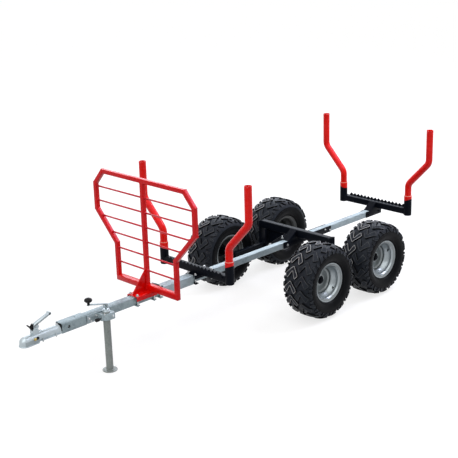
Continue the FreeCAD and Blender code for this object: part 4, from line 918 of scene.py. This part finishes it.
def coupling():
    bm, hollow, ball = bmesh.new(), bmesh.new(), bmesh.new()
    stations = [1450, 1560, 1640, HEAD_X, 1696, 1702, 1708, 1714, 1726, 1740, 1754, 1768, 1780, BALL_X]
    stations += [BALL_X + v for _, v in circle(CUP, 40)[1:10]] + [BALL_X + CUP - 0.13]
    skin(bm, [head_ring(x) for x in stations])
    skin(hollow, [head_ring(x, 4.5, foot=340) for x in (1440, 1560, HEAD_X, 1702, 1714, 1740, 1762)])
    lathe(ball, (BALL_X, 0, 0), Z, [(BORE, 340)] + [(u, BALL_Z + v) for u, v in circle(BORE, 30)[:8]], 32)
    bm = carve(carve(bm, hollow), ball)
    lip = [(BALL_X + v, u) for u, v in circle(36.4, 30)[:16]]
    sweep(bm, [(x, y, 358.4) for x, y in [(1700, 31.8), *lip, (1700, -31.8)]], circle(3.3, 10), across=Z)
    flange = [(1537, 28.5), (1537, 36), (1540, 39), (1684, 39), (HEAD_X, 33), (HEAD_X, 28.5)]
    for side in (-1, 1):
        prism(bm, [(x, side * y) for x, y in flange], "xy", 366, 371, 1.2)
    bmesh.ops.recalc_face_normals(bm, faces=bm.faces)
    # Steep faces low on the cup's sides take the darker pressed copy: painted shade.
    for face in bm.faces:
        spot = face.calc_center_median()
        if 1694 < spot.x < 1806 and spot.z < 392 and abs(spot.y) > 28 and abs(face.normal.z) < 0.45:
            face.material_index = 1
    piece("coupling_body", bm, [bright, pressed_side_painted_shade], GALVANISED, "coupling_head", sharp=35)

    bm = bmesh.new()
    plates(bm, [(1681, 402), (1732, 402), (1733, 436), (1729, 450), (1720, 457), (1706, 459), (1697, 455),
                (1691, 444), (1687, 424), (1681, 412)], 13, 18.5, 1.6)
    block(bm, (1727, 1732), (-14, 14), (404, 440), 1.0)
    block(bm, (1688, 1692), (-14, 14), (404, 428), 1.0)
    staple = [(1662, 416), (1662, 421), (1666, 424), (1674, 424), (1678, 421), (1678, 416)]
    sweep(bm, [(x, 0, z) for x, z in staple], circle(2.6, 8), across=Y)
    piece("coupling_cheeks", bm, bright, GALVANISED)

    bm, other = bmesh.new(), bmesh.new()
    outer = [(-13.5, 16), (-13.5, 25), (-12, 29.4), (-8, 31.8), (0, 32.6), (8, 31.8), (12, 29.4), (13.5, 25),
             (13.5, 16)]
    inner = [(11, 16), (11, 25), (7.4, 29.4), (-7.4, 29.4), (-11, 25), (-11, 16)]
    prism(other, outer + inner, "yz", -128, 6, 0.5, 0, 1)
    # The lever's sides take the dark zinc copy: painted shade.
    for face in other.faces:
        spot = face.calc_center_median()
        if abs(spot.y) > 13 and abs(spot.z) < 27:
            face.material_index = 1
    plates(other, [(-26, -8), (12, -8), (16, 4), (12, 24), (-26, 24)], 7, 10.4, 0.8)
    plates(other, [(-118, 19.4), (-30, 19.4), (-30, 22.6), (-118, 22.6)], 13.2, 14.6, 0.5)
    block(other, (6, 12), (-8, 8), (-6, 22), 0.8)
    lathe(other, (-127, -13.5, 24), Y, [(9, 0), (10.6, 1), (10.6, 26), (9, 27)], 24)
    lathe(other, (-127, -14, 24), Y, [(6, 0), (6, 28)], 20, look=2)
    merge(bm, other, Matrix.Translation((LEVER_X, 0, LEVER_Z)) @ Matrix.Rotation(radians(20), 4, "Y"))
    lathe(bm, (LEVER_X, -19, LEVER_Z), Y, [(3, 0), (4, 1), (4, 37), (3, 38)], 16)
    for side in (-1, 1):
        hexagon(bm, (LEVER_X, side * 18.2, LEVER_Z), Y * side, 10, 3.5)
    piece("coupling_handle", bm, [bright, lever_side_painted_shade, plastic], GALVANISED, "coupling_lever", sharp=40)

    bm = bmesh.new()
    plates(bm, [(1724, 452), (1738, 452), (1745, 462), (1761, 479), (1756, 485), (1742, 472), (1735, 468),
                (1727, 480), (1718, 483), (1721, 464)], 3, 11, 1.6)
    block(bm, (1724, 1738), (-11, 11), (449, 459), 1.6)
    piece("coupling_catch", bm, plastic, PLASTIC)

    bm = bmesh.new()
    for x, side in product((1575, 1676), (-1, 1)):
        hexagon(bm, (x, side * 34.4, 371), Z, 9, 5, turn=0.3)
        hexagon(bm, (x, side * 34.4, 366), -Z, 9, 5, thread=4)
    lathe(bm, (1540, 0, 415), Z, [(6, 0), (6, 6), (4.5, 8), (4.5, 12), (2, 13)], 18)
    # This pin through the side hole takes the dark zinc copy: painted shade.
    lathe(bm, (SIDE_HOLE_X, -32.5, BEAM_Z), Y, [(4, 0), (5.8, 1), (5.8, 64), (4, 65)], 6, look=1)
    piece("coupling_bolts", bm, [bolt_zinc, lever_side_painted_shade], GALVANISED)

    bm = bmesh.new()
    for side in (-1, 1):
        hexagon(bm, (1732, side * 30.5, 390), Y * side, 15, 6, turn=0.25)
        lathe(bm, (1711, side * 29, 391), Y * side, [(10, 0), (10, 2.6), (9, 3.4)], 18, look=1)
    piece("coupling_gauge_bolt", bm, [yellow_zinc, plastic], GALVANISED)

    # A black sleeve in the drawbar's mouth and a black plug in its side hole: painted shade for the gap and the
    # hole.
    bm = bmesh.new()
    tube(bm, (1512, 0, 391.5), (1531, 0, 391.5), rounded(59.8, 51.8, 14))
    lathe(bm, (SIDE_HOLE_X, -30.3, BEAM_Z), Y, [(10.3, 0), (10.3, 60.6)], 20)
    piece("drawbar_gap_painted_shade", bm, plastic, PLASTIC)


def shoe_bolts():
    """Zinc bolts through the cheeks of the axle shoe and of the rear bolster's shoe."""
    bm = bmesh.new()
    for x, z, across, look in ((-628, 390, 15, 0), (-1078, 404, 11, 0), (-1140, 383, 15, 0), (-1650, 392, 13, 1),
                               (-1790, 392, 13, 1)):
        for side in (-1, 1):
            hexagon(bm, (x, side * 31.4, z), Y * side, across, 6.5, look=look, turn=0.17 * side,
                    thread=4 if side < 0 else 0)
    lathe(bm, (-644, -37, 412), Z, [(4.5, 0), (4.5, 34), (3.5, 35)], 14)
    hexagon(bm, (-644, -37, 424), Z, 14, 7, thread=5)
    piece("shoe_bolts", bm, [bolt_zinc, black], GALVANISED)
    bm = bmesh.new()
    block(bm, (-660, -628), (-46, -31), (418, 424), 1.2)
    piece("shoe_ear", bm, black, BLACK)


backbone()
headboard()
clamp_bolts()
bolsters()
stakes()
running_gear()
wheels()
jack()
coupling()
shoe_bolts()


# ---- studio and camera
FLOOR_HALF, FLOOR_Z, FLOOR_GLOW, WORLD_LIGHT = 90, -0.0005, 0.74, 0.34
LAMPS = (("sky", (1.3, 0.5, 3.0), None, 0.50, (1, 0.995, 0.985)),
         ("far_side", (-4.6, -4.6, 2.5), (7.5, 2.8), 2.8, (0.81, 0.88, 1)),
         ("rear_top", (-4.6, 2.2, 4.9), (3.0, 3.0), 9.5, (0.84, 0.84, 1)),
         ("near_left", (5.5, 0.8, 2.1), (2.6, 2.6), 0.9, (1, 1, 1)))
CAMERA_AT, CAMERA_ANGLES, CAMERA_LENS = (5.0946, 5.1362, 3.0193), (135.09, 17.99, -1.65), 82.39


def seen_rays(tree):
    """1 for rays that show the background: from the camera, a reflection or glass. 0 for the light it gives."""
    paths = add_node(tree, "LightPath").outputs
    source = paths["Is Camera Ray"]
    for name in ("Is Glossy Ray", "Is Transmission Ray"):
        step = add_node(tree, "Math", wires=[(0, source), (1, paths[name])])
        step.operation = "MAXIMUM"
        source = step.outputs[0]
    return source


def studio():
    scene = bpy.context.scene
    scene.view_settings.view_transform = "Standard"
    mesh = bpy.data.meshes.new("floor")
    corners = [(x * FLOOR_HALF, y * FLOOR_HALF, FLOOR_Z) for x, y in ((-1, -1), (1, -1), (1, 1), (-1, 1))]
    mesh.from_pydata(corners, [], [(0, 1, 2, 3)])
    floor = put("floor", mesh)

    made = bpy.data.materials.new("studio_floor")
    made.use_nodes = True
    tree = made.node_tree
    shader = tree.nodes["Principled BSDF"]
    for socket, value in (("Base Color", (0.30, 0.30, 0.30, 1)), ("Roughness", 0.9), ("Specular IOR Level", 0.1)):
        shader.inputs[socket].default_value = value
    level = add_node(tree, "Math", [(1, FLOOR_GLOW)], [(0, seen_rays(tree))])
    level.operation = "MULTIPLY"
    glow = add_node(tree, "Emission", wires=[("Strength", level.outputs[0])])
    both = add_node(tree, "AddShader", wires=[(0, shader.outputs[0]), (1, glow.outputs[0])])
    tree.links.new(both.outputs[0], tree.nodes["Material Output"].inputs["Surface"])
    mesh.materials.append(made)

    scene.world = bpy.data.worlds.new("studio")
    scene.world.use_nodes = True
    tree = scene.world.node_tree
    background = tree.nodes["Background"]
    background.inputs["Color"].default_value = (1, 1, 1, 1)
    level = add_node(tree, "MapRange", [("To Min", WORLD_LIGHT), ("To Max", 1.0)],
                     [("Value", seen_rays(tree))])
    tree.links.new(level.outputs[0], background.inputs["Strength"])

    for name, place, size, power, colour in LAMPS:
        lamp = bpy.data.lights.new(name, "AREA" if size else "SUN")
        lamp.color = colour
        lamp.energy = power * pi * prod(size or (1,))
        if size:
            lamp.shape = "RECTANGLE"
            lamp.size, lamp.size_y = size
        else:
            lamp.angle = radians(70)
        thing = put(name, lamp)
        thing.location = Vector(place) + Z * 0.5
        thing.rotation_mode = "QUATERNION"
        thing.rotation_quaternion = (-Vector(place)).to_track_quat("-Z", "Y")
        thing.visible_camera = False


def camera():
    azimuth, elevation, roll = map(radians, CAMERA_ANGLES)
    back = Vector((sin(azimuth) * cos(elevation), -cos(azimuth) * cos(elevation),
                   sin(elevation)))
    right = Vector((cos(azimuth), sin(azimuth), 0))
    up = back.cross(right)
    turned = (right * cos(roll) + up * sin(roll), up * cos(roll) - right * sin(roll), back)
    view = bpy.data.cameras.new("camera")
    view.sensor_width, view.lens = 36, CAMERA_LENS
    view.clip_start, view.clip_end = 0.1, 400
    bpy.context.scene.camera = put("camera", view)
    bpy.context.scene.camera.matrix_world = Matrix.Translation(CAMERA_AT) @ Matrix(turned).transposed().to_4x4()


studio()
camera()
